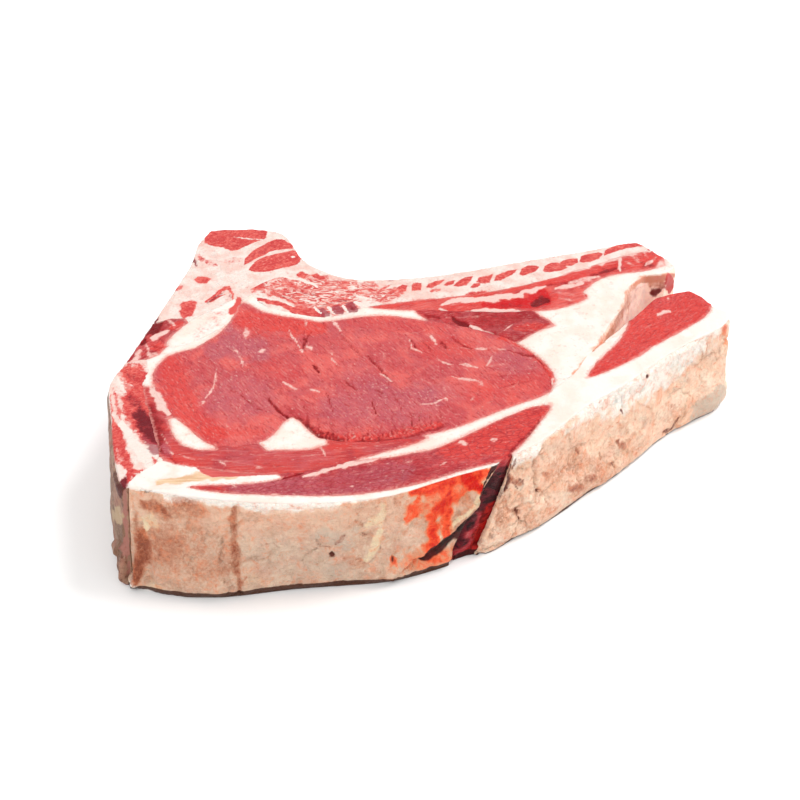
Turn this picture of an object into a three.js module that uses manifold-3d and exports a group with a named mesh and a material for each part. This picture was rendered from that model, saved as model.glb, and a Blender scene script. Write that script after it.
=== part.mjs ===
// A raw bone-in rib steak, lying flat on one of its two cut faces.
// Millimetres, +Z up. Seen from above, -X is the spine side, +Y the rib side, and -Y the fat side.
// The whole steak is one thick slab. Muscles, bones and fat each run right through it from face to
// face, so each is cut out of the slab with an upright outline, and keeps a hair gap to the next.
// Last, the slab is leaned over a little where its side doesn't stand upright.
import * as THREE from "three";
import { ConvexGeometry } from "three/addons/geometries/ConvexGeometry.js";
import { mergeVertices } from "three/addons/utils/BufferGeometryUtils.js";
import Module from "manifold-3d";

const wasm = await Module();
wasm.setup();

// ---------------------------------------------------------------- driving sizes

const THICKNESS = 38;
const GAP = 0.3;
const EDGE_STEP = 5;
const SEAM_STEP = 5;
const RELIEF_CELL = 10;

// A lean of the side fades out this far from the edge.
const LEAN_REACH = 14;

// How far the slab's side is drawn in at each height: rounded feet, rounded shoulders, and a low
// dome above them that the cut face then slices off.
const SIDE_PROFILE = [
  { height: 0, inset: 1.2 },
  { height: 0.8, inset: 0.2 },
  { height: 2.6, inset: -0.5 },
  { height: 18, inset: -0.8 },
  { height: THICKNESS - 2, inset: -0.1 },
  { height: THICKNESS - 0.6, inset: 0.35 },
  { height: THICKNESS + 2, inset: 2.4 },
];

// The upper cut face swells over the muscle and the bones and sinks beside them.
const SWELLS = [
  { x: -15, y: -10, reach: 45, rise: 0.9 },
  { x: 45, y: 55, reach: 22, rise: 0.6 },
  { x: -58, y: 62, reach: 20, rise: 0.5 },
  { x: 62, y: 22, reach: 12, rise: -0.7 },
  { x: -84, y: -12, reach: 12, rise: -0.6 },
  { x: 96, y: 22, reach: 20, rise: -0.6 },
];

// ---------------------------------------------------------------- outlines of the cut face

// The steak's edge in clockwise stretches. A third number is how far the foot of the side stands
// out past its upper edge there.
const SPINE_CORNER = [[-75, 79], [-73, 84], [-63, 85], [-53, 85], [-45, 82], [-41, 75]];
const RIB_BACK = [[-36, 63], [-30, 57], [-20, 51], [-7, 50], [11, 52], [49, 63], [80, 73]];
const RIB_END = [[90, 76], [96, 69], [103, 59], [99, 54], [91, 53]];
const NOTCH = [
  [86, 48], [83, 42], [81, 33], [75, 22], [70, 10], [66, 2], [70, 8], [77, 17], [87, 30], [93, 38],
];
const TAIL_END = [[99, 41], [106, 43], [110, 39], [114, 32], [118, 30, 1], [118.5, 25], [115, 20, -0.5]];
const FAT_SIDE = [
  [103, 11, -1.8], [90, -1, -1], [76, -16], [64, -26, 1.7], [54, -38], [46, -47, -2.5], [39, -52, -3],
  [32, -58, -3], [16, -65, -0.8], [-2, -74, -3.3], [-16, -77, -4.6], [-31, -78, -4.3], [-50, -77],
  [-69, -74, 5], [-80, -71, 7],
];
const BONE_SIDE = [
  [-88, -69, 1], [-91, -61, 3], [-96, -35, 2], [-99, -15], [-95, -2], [-84, 38], [-78, 62], [-77, 74],
];
const STEAK_EDGE = [
  ...SPINE_CORNER, ...RIB_BACK, ...RIB_END, ...NOTCH, ...TAIL_END, ...FAT_SIDE, ...BONE_SIDE,
];

// Each outline may run on under a piece that comes before it in the list of tissues, or out past
// the steak's edge: only the part that is left over counts.
const RIB_EYE = [
  [-57, 35], [-50, 29], [-36, 24], [-29, 22], [-7, 26], [18, 20], [39, 11], [51, -4], [53, -13], [51, -19],
  [35, -29], [15, -41], [-7, -47], [-20, -47], [-27, -45], [-36, -34], [-44, -46], [-60, -49], [-70, -39],
  [-81, -24], [-85, -9], [-81, 2], [-72, 6], [-61, 21],
];
const BONE_FAT = [[-58, 38], [-58, 31], [-61, 23], [-67, 15], [-79, 7], [-82, 8], [-77, 20], [-67, 30]];
const LEFT_KERNEL = [
  [-77, -34], [-75, -41], [-71, -48], [-66, -50.5], [-60, -50.5], [-63, -44], [-70, -34],
];
const MIDDLE_KERNEL = [
  [-46, -47], [-43, -51], [-36, -51], [-29, -50.5], [-24, -48], [-28, -38], [-36, -31], [-42, -40],
];
const RIB_BONE = [
  [-55, 43], [-51, 47], [-43, 53], [-37, 62], [-30, 68], [10, 64], [60, 78], [86, 84], [95, 76], [96, 71],
  [87, 68], [69, 58], [50, 48], [29, 41], [0, 35], [-12, 32], [-17, 27], [-27, 25], [-36, 27], [-47, 31],
];
const CHINE_BONE = [
  [-86, 88], [-60, 94], [-36, 86], [-32, 66], [-42, 52], [-52, 44], [-55, 39], [-66, 27], [-75, 21],
  [-77, 25], [-82, 25], [-94, 21], [-94, 50],
];
const CHINE_MEAT = [
  [-104, 24], [-82, 27], [-74, 28], [-74, 18], [-79, 11], [-82, 7], [-84, 3], [-88, 0], [-104, -2],
];
const FEATHER_BONE = [
  [-108, -20], [-104, 0], [-90, 3], [-87, -7], [-88, -15], [-86, -24], [-83, -34], [-79, -50], [-78, -57],
  [-83, -62], [-86, -67], [-88, -78], [-108, -72],
];
const RIB_MEAT = [
  [-12, 32], [0, 40], [40, 50], [80, 70], [92, 74], [99, 67], [99, 60], [93, 57], [78, 53], [71, 48],
  [67, 42], [68, 38], [56, 31], [47, 29.5], [25, 29], [12, 29.5], [2, 29.5],
];
const WEDGE_MEAT = [[5, 30], [14, 33], [44, 33], [50, 27], [55, 21], [49, 17], [38, 8], [26, 12], [10, 23]];
const RIB_CAP = [
  [-88, -15], [-86, -26], [-81, -44], [-76, -56], [-63, -60], [-48, -63], [-30, -62], [-16, -57], [0, -50],
  [9, -45], [4, -40], [-20, -40], [-60, -38], [-78, -20],
];
const BACKSTRAP = [
  [-84, -69], [-85, -60], [-76, -54], [-60, -56], [-44, -60], [-38, -65], [-48, -67.5], [-64, -68.5],
  [-74, -70.5],
];
const OUTER_STRIP = [
  [-68, -69], [-52, -64], [-24, -58], [-8, -56], [3, -53], [10, -51], [33, -35], [44, -28], [51, -26],
  [47, -35], [38, -50.5], [31, -57], [22, -60.5], [3, -69], [-16, -73.5], [-41, -73.5], [-58, -72],
];
const TAIL_STRIP = [
  [64, -11], [69, -1], [75, 8], [80, 17], [84, 29], [92, 44], [106, 48], [112, 39], [112, 30], [99, 17],
  [89, 8], [80, -1],
];
const LEFT_SEAM = [[-60, 34], [-96, 20], [-96, -20], [-84, -26], [-70, -10], [-61, 10], [-58, 28]];
const FAT_CAP = [
  [53, -17], [60, -9], [66, 3], [84, 22], [96, 52], [126, 48], [130, -20], [60, -96], [-60, -96],
  [-100, -80], [-86, -66], [-70, -64], [-40, -66], [0, -60], [28, -46], [44, -33],
];

// The torn cleft in the fat side is a wedge that slants from the upper edge down to the foot and
// bares the muscle behind. Each plan is its inner tip and its two outer corners.
const CLEFT = {
  topPlan: [[36, -49], [30, -70], [45, -66]],
  footPlan: [[21, -53], [8, -80], [34, -76]],
};

// ---------------------------------------------------------------- shapes

// Points along a closed smooth curve through every hand-set point, about one step apart.
// The third number of a point is carried along as z.
function smoothLoop(points, step) {
  const knots = points.map(([x, y, lean = 0]) => new THREE.Vector3(x, y, lean));
  const curve = new THREE.CatmullRomCurve3(knots, true, "centripetal");
  const loop = [];
  knots.forEach((knot, index) => {
    const next = knots[(index + 1) % knots.length];
    const parts = Math.max(1, Math.round(knot.distanceTo(next) / step));
    for (let part = 0; part < parts; part += 1) {
      loop.push(curve.getPoint((index + part / parts) / knots.length));
    }
  });
  return THREE.ShapeUtils.isClockWise(loop) ? loop.reverse() : loop;
}

// The outward direction at each point of an anticlockwise loop.
function outwards(loop) {
  return loop.map((point, index) => {
    const before = loop[(index + loop.length - 1) % loop.length];
    const after = loop[(index + 1) % loop.length];
    return new THREE.Vector2(after.y - before.y, before.x - after.x).normalize();
  });
}

function grow(loop, margin) {
  const directions = outwards(loop);
  return loop.map(({ x, y }, index) => directions[index].multiplyScalar(margin).add({ x, y }));
}

const steakLoop = smoothLoop(STEAK_EDGE, EDGE_STEP);

function toSolid(geometry) {
  const bare = new THREE.BufferGeometry();
  bare.setAttribute("position", geometry.getAttribute("position"));
  bare.setIndex(geometry.getIndex());
  const merged = mergeVertices(bare);
  const vertProperties = new Float32Array(merged.getAttribute("position").array);
  const triVerts = new Uint32Array(merged.getIndex().array);
  return new wasm.Manifold(new wasm.Mesh({ numProp: 3, vertProperties, triVerts }));
}

function toGeometry(solid) {
  const mesh = solid.getMesh();
  const geometry = new THREE.BufferGeometry();
  geometry.setAttribute("position", new THREE.BufferAttribute(mesh.vertProperties, 3));
  geometry.setIndex(new THREE.BufferAttribute(mesh.triVerts, 1));
  geometry.computeVertexNormals();
  return geometry;
}

// The largest separate bodies of a solid, from left to right.
function largestBodies(solid, count) {
  const bodies = solid.decompose().sort((one, other) => other.volume() - one.volume());
  return bodies.slice(0, count).sort((one, other) => one.boundingBox().min[0] - other.boundingBox().min[0]);
}

// The slab's rough form: rings of the outline, one for each height of the side profile, joined by
// quads and closed by flat caps.
function makeSlabSides() {
  const count = steakLoop.length;
  const positions = [];
  SIDE_PROFILE.forEach(({ height, inset }) => {
    grow(steakLoop, -inset).forEach(({ x, y }) => positions.push(x, y, height));
  });
  const triangles = [];
  for (let level = 0; level < SIDE_PROFILE.length - 1; level += 1) {
    for (let index = 0; index < count; index += 1) {
      const a = level * count + index;
      const b = level * count + ((index + 1) % count);
      triangles.push(a, b, b + count, a, b + count, a + count);
    }
  }
  const top = (SIDE_PROFILE.length - 1) * count;
  THREE.ShapeUtils.triangulateShape(steakLoop, []).forEach(([a, b, c]) => {
    triangles.push(c, b, a, top + a, top + b, top + c);
  });
  const geometry = new THREE.BufferGeometry();
  geometry.setAttribute("position", new THREE.Float32BufferAttribute(positions, 3));
  geometry.setIndex(triangles);
  return toSolid(geometry);
}

function faceHeight(x, y) {
  const rise = SWELLS.reduce((sum, swell) => {
    const away = Math.hypot(x - swell.x, y - swell.y) / swell.reach;
    return sum + swell.rise * Math.exp(-away * away);
  }, 0);
  return THICKNESS + rise;
}

// A block whose upper side is the gently swelling cut face.
function makeFaceBlock() {
  const width = 260;
  const depth = 210;
  const across = Math.round(width / RELIEF_CELL);
  const along = Math.round(depth / RELIEF_CELL);
  const geometry = new THREE.BoxGeometry(width, depth, THICKNESS, across, along, 1);
  geometry.translate(10, 0, THICKNESS / 2);
  const position = geometry.getAttribute("position");
  for (let index = 0; index < position.count; index += 1) {
    if (position.getZ(index) > THICKNESS / 2) {
      position.setZ(index, faceHeight(position.getX(index), position.getY(index)));
    }
  }
  return toSolid(geometry);
}

// The cleft's slanting wedge, a little taller than the steak, with its plan grown by a margin.
function makeCleft(margin) {
  const levels = [[CLEFT.topPlan, THICKNESS + 3], [CLEFT.footPlan, -1]];
  const corners = levels.flatMap(([plan, height]) => {
    const loop = plan.map(([x, y]) => new THREE.Vector2(x, y));
    return grow(loop, margin).map(({ x, y }) => new THREE.Vector3(x, y, height));
  });
  return toSolid(new ConvexGeometry(corners));
}

// A maker of upright prisms on one outline, taller than the steak at both ends. Each call grows the
// outline by its own margin.
function upright(outline) {
  const over = 10;
  const settings = { depth: THICKNESS + 2 * over, bevelEnabled: false };
  const loop = smoothLoop(outline, SEAM_STEP);
  return (margin) => {
    const geometry = new THREE.ExtrudeGeometry(new THREE.Shape(grow(loop, margin)), settings);
    geometry.translate(0, 0, -over);
    return toSolid(geometry);
  };
}

// ---------------------------------------------------------------- tissues

const LOOKS = {
  meat: { color: 0xb5383a, roughness: 0.4, metalness: 0 },
  fat: { color: 0xf0e2d2, roughness: 0.5, metalness: 0 },
  bone: { color: 0xd9a58f, roughness: 0.6, metalness: 0 },
};

// Each cutter takes its piece, and every piece further down the list is cut back from it. The
// cleft takes no piece: it is torn out of the fat, which comes after it.
const TISSUES = [
  { names: ["rib_eye"], look: LOOKS.meat, cutter: upright(RIB_EYE) },
  { names: ["bone_fat"], look: LOOKS.fat, cutter: upright(BONE_FAT) },
  { names: ["left_kernel"], look: LOOKS.fat, cutter: upright(LEFT_KERNEL) },
  { names: ["middle_kernel"], look: LOOKS.fat, cutter: upright(MIDDLE_KERNEL) },
  { names: ["rib_bone"], look: LOOKS.bone, cutter: upright(RIB_BONE) },
  { names: ["chine_bone"], look: LOOKS.bone, cutter: upright(CHINE_BONE) },
  { names: ["chine_meat"], look: LOOKS.meat, cutter: upright(CHINE_MEAT) },
  { names: ["feather_bone"], look: LOOKS.bone, cutter: upright(FEATHER_BONE) },
  { names: ["rib_meat"], look: LOOKS.meat, cutter: upright(RIB_MEAT) },
  { names: ["wedge_meat"], look: LOOKS.meat, cutter: upright(WEDGE_MEAT) },
  { names: ["rib_cap"], look: LOOKS.meat, cutter: upright(RIB_CAP) },
  { names: ["backstrap"], look: LOOKS.fat, cutter: upright(BACKSTRAP) },
  { names: ["outer_strip"], look: LOOKS.meat, cutter: upright(OUTER_STRIP) },
  { names: ["tail_strip"], look: LOOKS.meat, cutter: upright(TAIL_STRIP) },
  { names: [], look: null, cutter: makeCleft },
  { names: ["left_seam"], look: LOOKS.fat, cutter: upright(LEFT_SEAM) },
  { names: ["left_fat", "right_fat"], look: LOOKS.fat, cutter: upright(FAT_CAP) },
];

// How far, and which way, the foot under a point is shifted: a blend of the leans along the edge
// near it, which fades to nothing further in.
const steakOutwards = outwards(steakLoop);
function footShift(x, y) {
  const shift = new THREE.Vector2();
  let weights = 0.5;
  steakLoop.forEach((point, index) => {
    const away = Math.hypot(point.x - x, point.y - y) / LEAN_REACH;
    const weight = Math.exp(-away * away);
    weights += weight;
    shift.addScaledVector(steakOutwards[index], weight * point.z);
  });
  return shift.divideScalar(weights);
}

function lean(geometry) {
  const position = geometry.getAttribute("position");
  for (let index = 0; index < position.count; index += 1) {
    const x = position.getX(index);
    const y = position.getY(index);
    const depth = 1 - position.getZ(index) / THICKNESS;
    const shift = footShift(x, y).multiplyScalar(depth);
    position.setXY(index, x + shift.x, y + shift.y);
  }
  return geometry;
}

const steak = new THREE.Group();

function addPieces(names, look, solid) {
  const bodies = largestBodies(solid, names.length);
  names.forEach((name, index) => {
    const mesh = new THREE.Mesh(lean(toGeometry(bodies[index])), new THREE.MeshStandardMaterial(look));
    mesh.name = name;
    steak.add(mesh);
  });
}

let rest = makeSlabSides().intersect(makeFaceBlock());
TISSUES.forEach(({ names, look, cutter }) => {
  addPieces(names, look, rest.intersect(cutter(0)));
  rest = rest.subtract(cutter(GAP));
});
// The fat between the muscles is all that the cutters leave: a thin seam under the rib bone, and the
// broad field on the right.
addPieces(["rib_seam", "seam_fat"], LOOKS.fat, rest);

// The origin is under the middle of the steak's box.
const middle = new THREE.Box3().setFromObject(steak).getCenter(new THREE.Vector3());
steak.children.forEach((mesh) => mesh.position.set(-middle.x, -middle.y, 0));

export default steak;
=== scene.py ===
# %% [markdown]
# # A raw rib steak on the bone
# A rib steak is a slice across a cow's back: a big lean eye, a thin crescent of cap around it, a
# rib and a piece of backbone along the far side, and a band of outer fat along the near side.
# The carved frame already has every muscle, bone and fat as a solid of the right size. This lesson
# turns each of those solids into wet flesh. Each one is copied, gets a fine even mesh, a surface
# with real lumps and creases, and a finish made of nodes.

# %% Load the frame
import math

import bmesh
import bpy
import numpy as np
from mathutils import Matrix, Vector
from mathutils.bvhtree import BVHTree
from mathutils.kdtree import KDTree


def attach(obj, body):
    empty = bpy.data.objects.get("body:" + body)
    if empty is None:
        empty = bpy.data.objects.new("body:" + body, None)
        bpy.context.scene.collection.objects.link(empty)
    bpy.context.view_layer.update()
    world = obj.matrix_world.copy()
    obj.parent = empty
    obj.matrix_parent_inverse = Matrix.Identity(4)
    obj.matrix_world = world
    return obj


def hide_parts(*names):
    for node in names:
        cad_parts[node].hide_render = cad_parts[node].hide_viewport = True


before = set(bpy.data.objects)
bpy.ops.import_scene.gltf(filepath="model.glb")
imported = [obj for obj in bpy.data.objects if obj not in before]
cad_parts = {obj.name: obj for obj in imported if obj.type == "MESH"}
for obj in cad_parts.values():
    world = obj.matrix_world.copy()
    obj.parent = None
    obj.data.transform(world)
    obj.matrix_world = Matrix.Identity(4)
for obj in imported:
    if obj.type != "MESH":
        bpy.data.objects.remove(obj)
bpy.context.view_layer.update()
MM = 0.001
THICKNESS = 38.0


# %% [markdown]
# ## The camera
# The photograph looks down at the steak from the fat side at 37 degrees. The camera is a rig of
# four sizes: how high it looks from, how far away it stands, its lens, and the point that it looks
# at. The same sizes also tell where any point of the steak lands in the picture, so marks that were
# read off the picture, such as a streak of fat, can be put on the meat where they belong.

# %% Camera
LOOK_DOWN = math.radians(37.0)
DISTANCE = 640.0
LENS = 81.5
SENSOR = 36.0
PICTURE = 800
LOOK_AT = np.array([-9.64, -3.91, 20.0])
FORWARD = np.array([0.0, math.cos(LOOK_DOWN), -math.sin(LOOK_DOWN)])
UPWARD = np.array([0.0, math.sin(LOOK_DOWN), math.cos(LOOK_DOWN)])
STAND = LOOK_AT - FORWARD * DISTANCE

camera_data = bpy.data.cameras.new("camera")
camera_data.lens = LENS
camera_data.sensor_width = SENSOR
camera_data.clip_start = 0.01
camera = bpy.data.objects.new("camera", camera_data)
camera.location = Vector(STAND * MM)
camera.rotation_euler = (math.pi / 2 - LOOK_DOWN, 0, 0)
bpy.context.scene.collection.objects.link(camera)
bpy.context.scene.camera = camera


def seen_at(points):
    """Where points in millimetres land in the picture, in pixels from its upper left corner."""
    away = points - STAND
    zoom = LENS / SENSOR * PICTURE / (away @ FORWARD)
    return np.stack([PICTURE / 2 + away[:, 0] * zoom, PICTURE / 2 - (away @ UPWARD) * zoom], 1)


print("the origin is seen at", seen_at(np.zeros((1, 3))).round(1).tolist())

# %% [markdown]
# ## Soft noise for real lumps
# Meat is never flat. Its small hills and dents have to be in the mesh, so that they catch the light
# from every side. Blender's own noise could be asked one point at a time, but half a million points
# make that slow. So this is the same idea for all points at once: random heights on the corners
# of a grid of cubes, and a smooth blend between the eight corners around each point.

# %% Noise
def corner_heights(cell, seed):
    """A random height between -1 and 1 for each whole-numbered grid corner."""
    x, y, z = (cell[..., axis].astype(np.int64) for axis in range(3))
    mixed = (x * 374761393 + y * 668265263 + z * 1274126177 + seed * 974634777) & 0xFFFFFFFF
    mixed = ((mixed ^ (mixed >> 13)) * 1274126177) & 0xFFFFFFFF
    mixed = mixed ^ (mixed >> 16)
    return mixed / 0x7FFFFFFF - 1.0


def lumps(points, size, seed=0):
    """Smooth random hills between -1 and 1, about one size apart."""
    place = points / size
    cell = np.floor(place)
    part = place - cell
    part = part * part * (3 - 2 * part)
    total = np.zeros(len(points))
    for corner in np.ndindex(2, 2, 2):
        side = np.array(corner)
        weight = np.prod(np.where(side == 1, part, 1 - part), axis=1)
        total += weight * corner_heights(cell + side, seed)
    return total


def fade(value, start, end):
    """0 before start, 1 past end, and a soft step between them."""
    share = np.clip((value - start) / (end - start), 0, 1)
    return share * share * (3 - 2 * share)


probe = lumps(np.random.default_rng(1).uniform(0, 100, (2000, 3)), 5.0)
print("noise runs from", round(probe.min(), 2), "to", round(probe.max(), 2))

# %% [markdown]
# ## From a carved solid to flesh
# The carved solids are coarse and stand a hair apart, where thin skins join them on the real steak.
# Each copy is merged, grown by a little more than half of that hair gap, and then given an even
# skin of small squares by a voxel remesh. A remesh rounds every edge. That suits the outside of the
# steak but would leave a trench along each seam of the cut face, so the top of each piece is then
# drawn level again, onto one swelling sheet that all the pieces share.

# %% The even skin
VOXEL = 0.6
SEAM_CLOSE = 0.2
SWELLS = [
    (-15, -10, 45, 0.9), (45, 55, 22, 0.6), (-58, 62, 20, 0.5),
    (62, 22, 12, -0.7), (-84, -12, 12, -0.6), (96, 22, 20, -0.6),
]
OUTLINE_SHIFT = np.array([9.641, 3.910])


def sheet_height(points):
    """The level of the upper cut face, in millimetres."""
    level = np.full(len(points), THICKNESS)
    for x, y, reach, rise in SWELLS:
        away = np.hypot(points[:, 0] + OUTLINE_SHIFT[0] - x, points[:, 1] + OUTLINE_SHIFT[1] - y) / reach
        level += rise * np.exp(-away * away)
    return level


def merged_copy(node):
    shape = bmesh.new()
    shape.from_mesh(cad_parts[node].data)
    bmesh.ops.remove_doubles(shape, verts=shape.verts, dist=0.002 * MM)
    shape.normal_update()
    return shape


def even_skin(node):
    """A finely meshed copy of a node, as a new object."""
    shape = merged_copy(node)
    for corner in shape.verts:
        corner.co += corner.normal * SEAM_CLOSE * MM
    rough = bpy.data.meshes.new(node + "_rough")
    shape.to_mesh(rough)
    shape.free()
    helper = bpy.data.objects.new(node + "_rough", rough)
    bpy.context.scene.collection.objects.link(helper)
    remesh = helper.modifiers.new("even skin", "REMESH")
    remesh.mode = "VOXEL"
    remesh.voxel_size = VOXEL * MM
    remesh.use_smooth_shade = True
    seen = helper.evaluated_get(bpy.context.evaluated_depsgraph_get())
    mesh = bpy.data.meshes.new_from_object(seen)
    mesh.name = node + "_flesh"
    bpy.data.objects.remove(helper)
    bpy.data.meshes.remove(rough)
    piece = bpy.data.objects.new(node + "_flesh", mesh)
    bpy.context.scene.collection.objects.link(piece)
    return piece


def read_points(piece):
    points = np.empty(len(piece.data.vertices) * 3, np.float32)
    piece.data.vertices.foreach_get("co", points)
    return points.reshape(-1, 3).astype(float) / MM


def write_points(piece, points):
    piece.data.vertices.foreach_set("co", (points * MM).astype(np.float32).ravel())
    piece.data.update()


def read_normals(piece):
    normals = np.empty(len(piece.data.vertices) * 3, np.float32)
    piece.data.vertices.foreach_get("normal", normals)
    return normals.reshape(-1, 3).astype(float)


NODES = {
    "rib_eye": "red_meat", "rib_cap": "red_meat", "outer_strip": "red_meat", "tail_strip": "red_meat",
    "wedge_meat": "red_meat", "rib_meat": "red_meat", "chine_meat": "red_meat",
    "rib_bone": "cut_bone", "chine_bone": "cut_bone", "feather_bone": "cut_bone",
    "bone_fat": "white_fat", "left_kernel": "white_fat", "middle_kernel": "white_fat",
    "left_seam": "white_fat", "rib_seam": "white_fat", "seam_fat": "white_fat",
    "left_fat": "skin_fat", "right_fat": "skin_fat", "backstrap": "sinew",
}
pieces = {node: even_skin(node) for node in NODES}
print("squares in all:", sum(len(piece.data.polygons) for piece in pieces.values()))

# %% [markdown]
# ## What lies next to each point
# A seam is where lean meets fat. To draw it, each point needs to know how far away the other kind of
# tissue is. A tree of the carved triangles answers that quickly: one tree for the lean pieces, one
# for the pale ones, and for each piece one of all its neighbours, which also tells which walls are
# hidden inside the steak and which are the steak's own outside.

# %% Neighbours
FAR = 6.0


def tree_of(nodes):
    corners, triangles = [], []
    for node in nodes:
        shape = merged_copy(node)
        start = len(corners)
        shape.verts.index_update()
        corners += [corner.co.copy() for corner in shape.verts]
        triangles += [[corner.index + start for corner in face.verts] for face in shape.faces]
        shape.free()
    return BVHTree.FromPolygons(corners, triangles)


def distances(points, tree):
    """How far each point is from the tree's surface in millimetres, or FAR where it is further."""
    found = np.full(len(points), FAR)
    for index, point in enumerate(points * MM):
        nearest = tree.find_nearest(point, FAR * MM)
        if nearest[0] is not None:
            found[index] = nearest[3] / MM
    return found


LEAN = [node for node, slot in NODES.items() if slot == "red_meat"]
PALE = [node for node in NODES if node not in LEAN]
lean_tree = tree_of(LEAN)
pale_tree = tree_of(PALE)
rest, seam_of, outside_of = {}, {}, {}
for node, piece in pieces.items():
    points = read_points(piece)
    rest[node] = points
    seam_of[node] = distances(points, pale_tree if node in LEAN else lean_tree)
    others = tree_of([other for other in NODES if other != node])
    outside_of[node] = fade(distances(points, others), 0.9, 2.5)
print("points:", sum(len(points) for points in rest.values()))

# %% [markdown]
# ## Marks read off the picture
# A steak is known by its own streaks and stains, and noise alone can't put them in the right place.
# Each streak below was read off the photograph as a few pixels along its middle, with how strong
# and how wide it is. Brushing it on means working out, for each point of the mesh, how far its
# place in the picture is from that line. The result is kept as a number on each point, so it
# stays on the meat from every side. Points of both cut faces use their place on the upper face, so a
# streak runs right through the steak, as muscle and bone do. On the skin side only the points that
# the camera can see take a mark. The outer strip takes marks all over, because its inner walls show
# in the tear beside the flap.

# %% Brush
KINDS = ("pale", "dark", "red", "dusk", "rust", "grey", "cream", "foam", "plum_and_shade", "lift", "sink")
CUT_DEPTH = 0.9
FACING = -0.05
STRONGEST = 1.6
MOST_WAVER = 1.8
picture, wobble, uneven, takes, brushed = {}, {}, {}, {}, {}
for node, piece in pieces.items():
    points = rest[node]
    normals = read_normals(piece)
    below = sheet_height(points) - points[:, 2]
    cut = (below < CUT_DEPTH) | (points[:, 2] < CUT_DEPTH)
    level = np.where(cut[:, None], points * [1, 1, 0] + [0, 0, THICKNESS], points)
    picture[node] = seen_at(level)
    wobble[node] = np.stack([lumps(level, 3.0, 11) + 0.6 * lumps(level, 1.2, 12),
                             0.7 * lumps(level, 3.0, 13) + 0.4 * lumps(level, 1.2, 14)], 1)
    uneven[node] = 1 + 0.4 * lumps(level, 2.2, 15)
    seen = (normals @ FORWARD < FACING) & (outside_of[node] > 0)
    takes[node] = cut | seen | (node == "outer_strip")
    brushed[node] = {kind: np.zeros(len(points)) for kind in KINDS}


def line_distance(places, line):
    """How far each place is from a line of joined points, in pixels, and how far along it, 0 to 1."""
    found, along_line = np.full(len(places), np.inf), np.zeros(len(places))
    count = max(len(line) - 1, 1)
    for index, (start, end) in enumerate(zip(line, line[1:] if len(line) > 1 else line)):
        along = end - start
        share = np.clip(((places - start) @ along) / max(along @ along, 1e-9), 0, 1)
        away = np.linalg.norm(places - start - share[:, None] * along, axis=1)
        along_line = np.where(away < found, (index + share) / count, along_line)
        found = np.minimum(found, away)
    return found, along_line


def brush(kind, nodes, strokes):
    """Brushes strokes of one kind onto pieces. A stroke is (strength, width, x, y, x, y, ...).
    It wavers a little, is uneven in width, and thins out towards both ends."""
    for node in nodes.split():
        places = picture[node]
        low, high = places.min(0), places.max(0)
        for strength, width, *numbers in strokes:
            line = np.array(numbers, float).reshape(-1, 2)
            room = width + 3
            if (line.max(0) + room < low).any() or (line.min(0) - room > high).any():
                continue
            near = np.flatnonzero(takes[node] & (places > line.min(0) - room).all(1)
                                  & (places < line.max(0) + room).all(1))
            waver = min(MOST_WAVER, 0.3 * width + 0.3)
            away, along = line_distance(places[near] + wobble[node][near] * waver, line)
            reach = width * uneven[node][near] * (0.6 + 0.4 * np.sin(math.pi * along))
            share = fade(away / reach, 0.8, 0.2)
            kept = brushed[node][kind]
            kept[near] += strength * share * (1 - kept[near] / STRONGEST)


def patch(kind, nodes, outlines):
    """Fills closed outlines with one kind of mark. An outline is (strength, softness, x, y, x, y, ...)."""
    for node in nodes.split():
        for strength, soft, *numbers in outlines:
            line = np.array(numbers, float).reshape(-1, 2)
            room = soft + 2
            near = np.flatnonzero(takes[node] & (picture[node] > line.min(0) - room).all(1)
                                  & (picture[node] < line.max(0) + room).all(1))
            if not len(near):
                continue
            places = picture[node][near] + 0.5 * wobble[node][near]
            ring = np.vstack([line, line[:1]])
            away, _ = line_distance(places, ring)
            inside = np.zeros(len(near), bool)
            for (x0, y0), (x1, y1) in zip(ring, ring[1:]):
                crosses = (y0 > places[:, 1]) != (y1 > places[:, 1])
                inside ^= crosses & (places[:, 0] < x0 + (places[:, 1] - y0) * (x1 - x0) / (y1 - y0 or 1))
            kept = brushed[node][kind]
            kept[near] = np.maximum(kept[near], strength * fade(np.where(inside, away, -away), -soft, soft))
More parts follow.
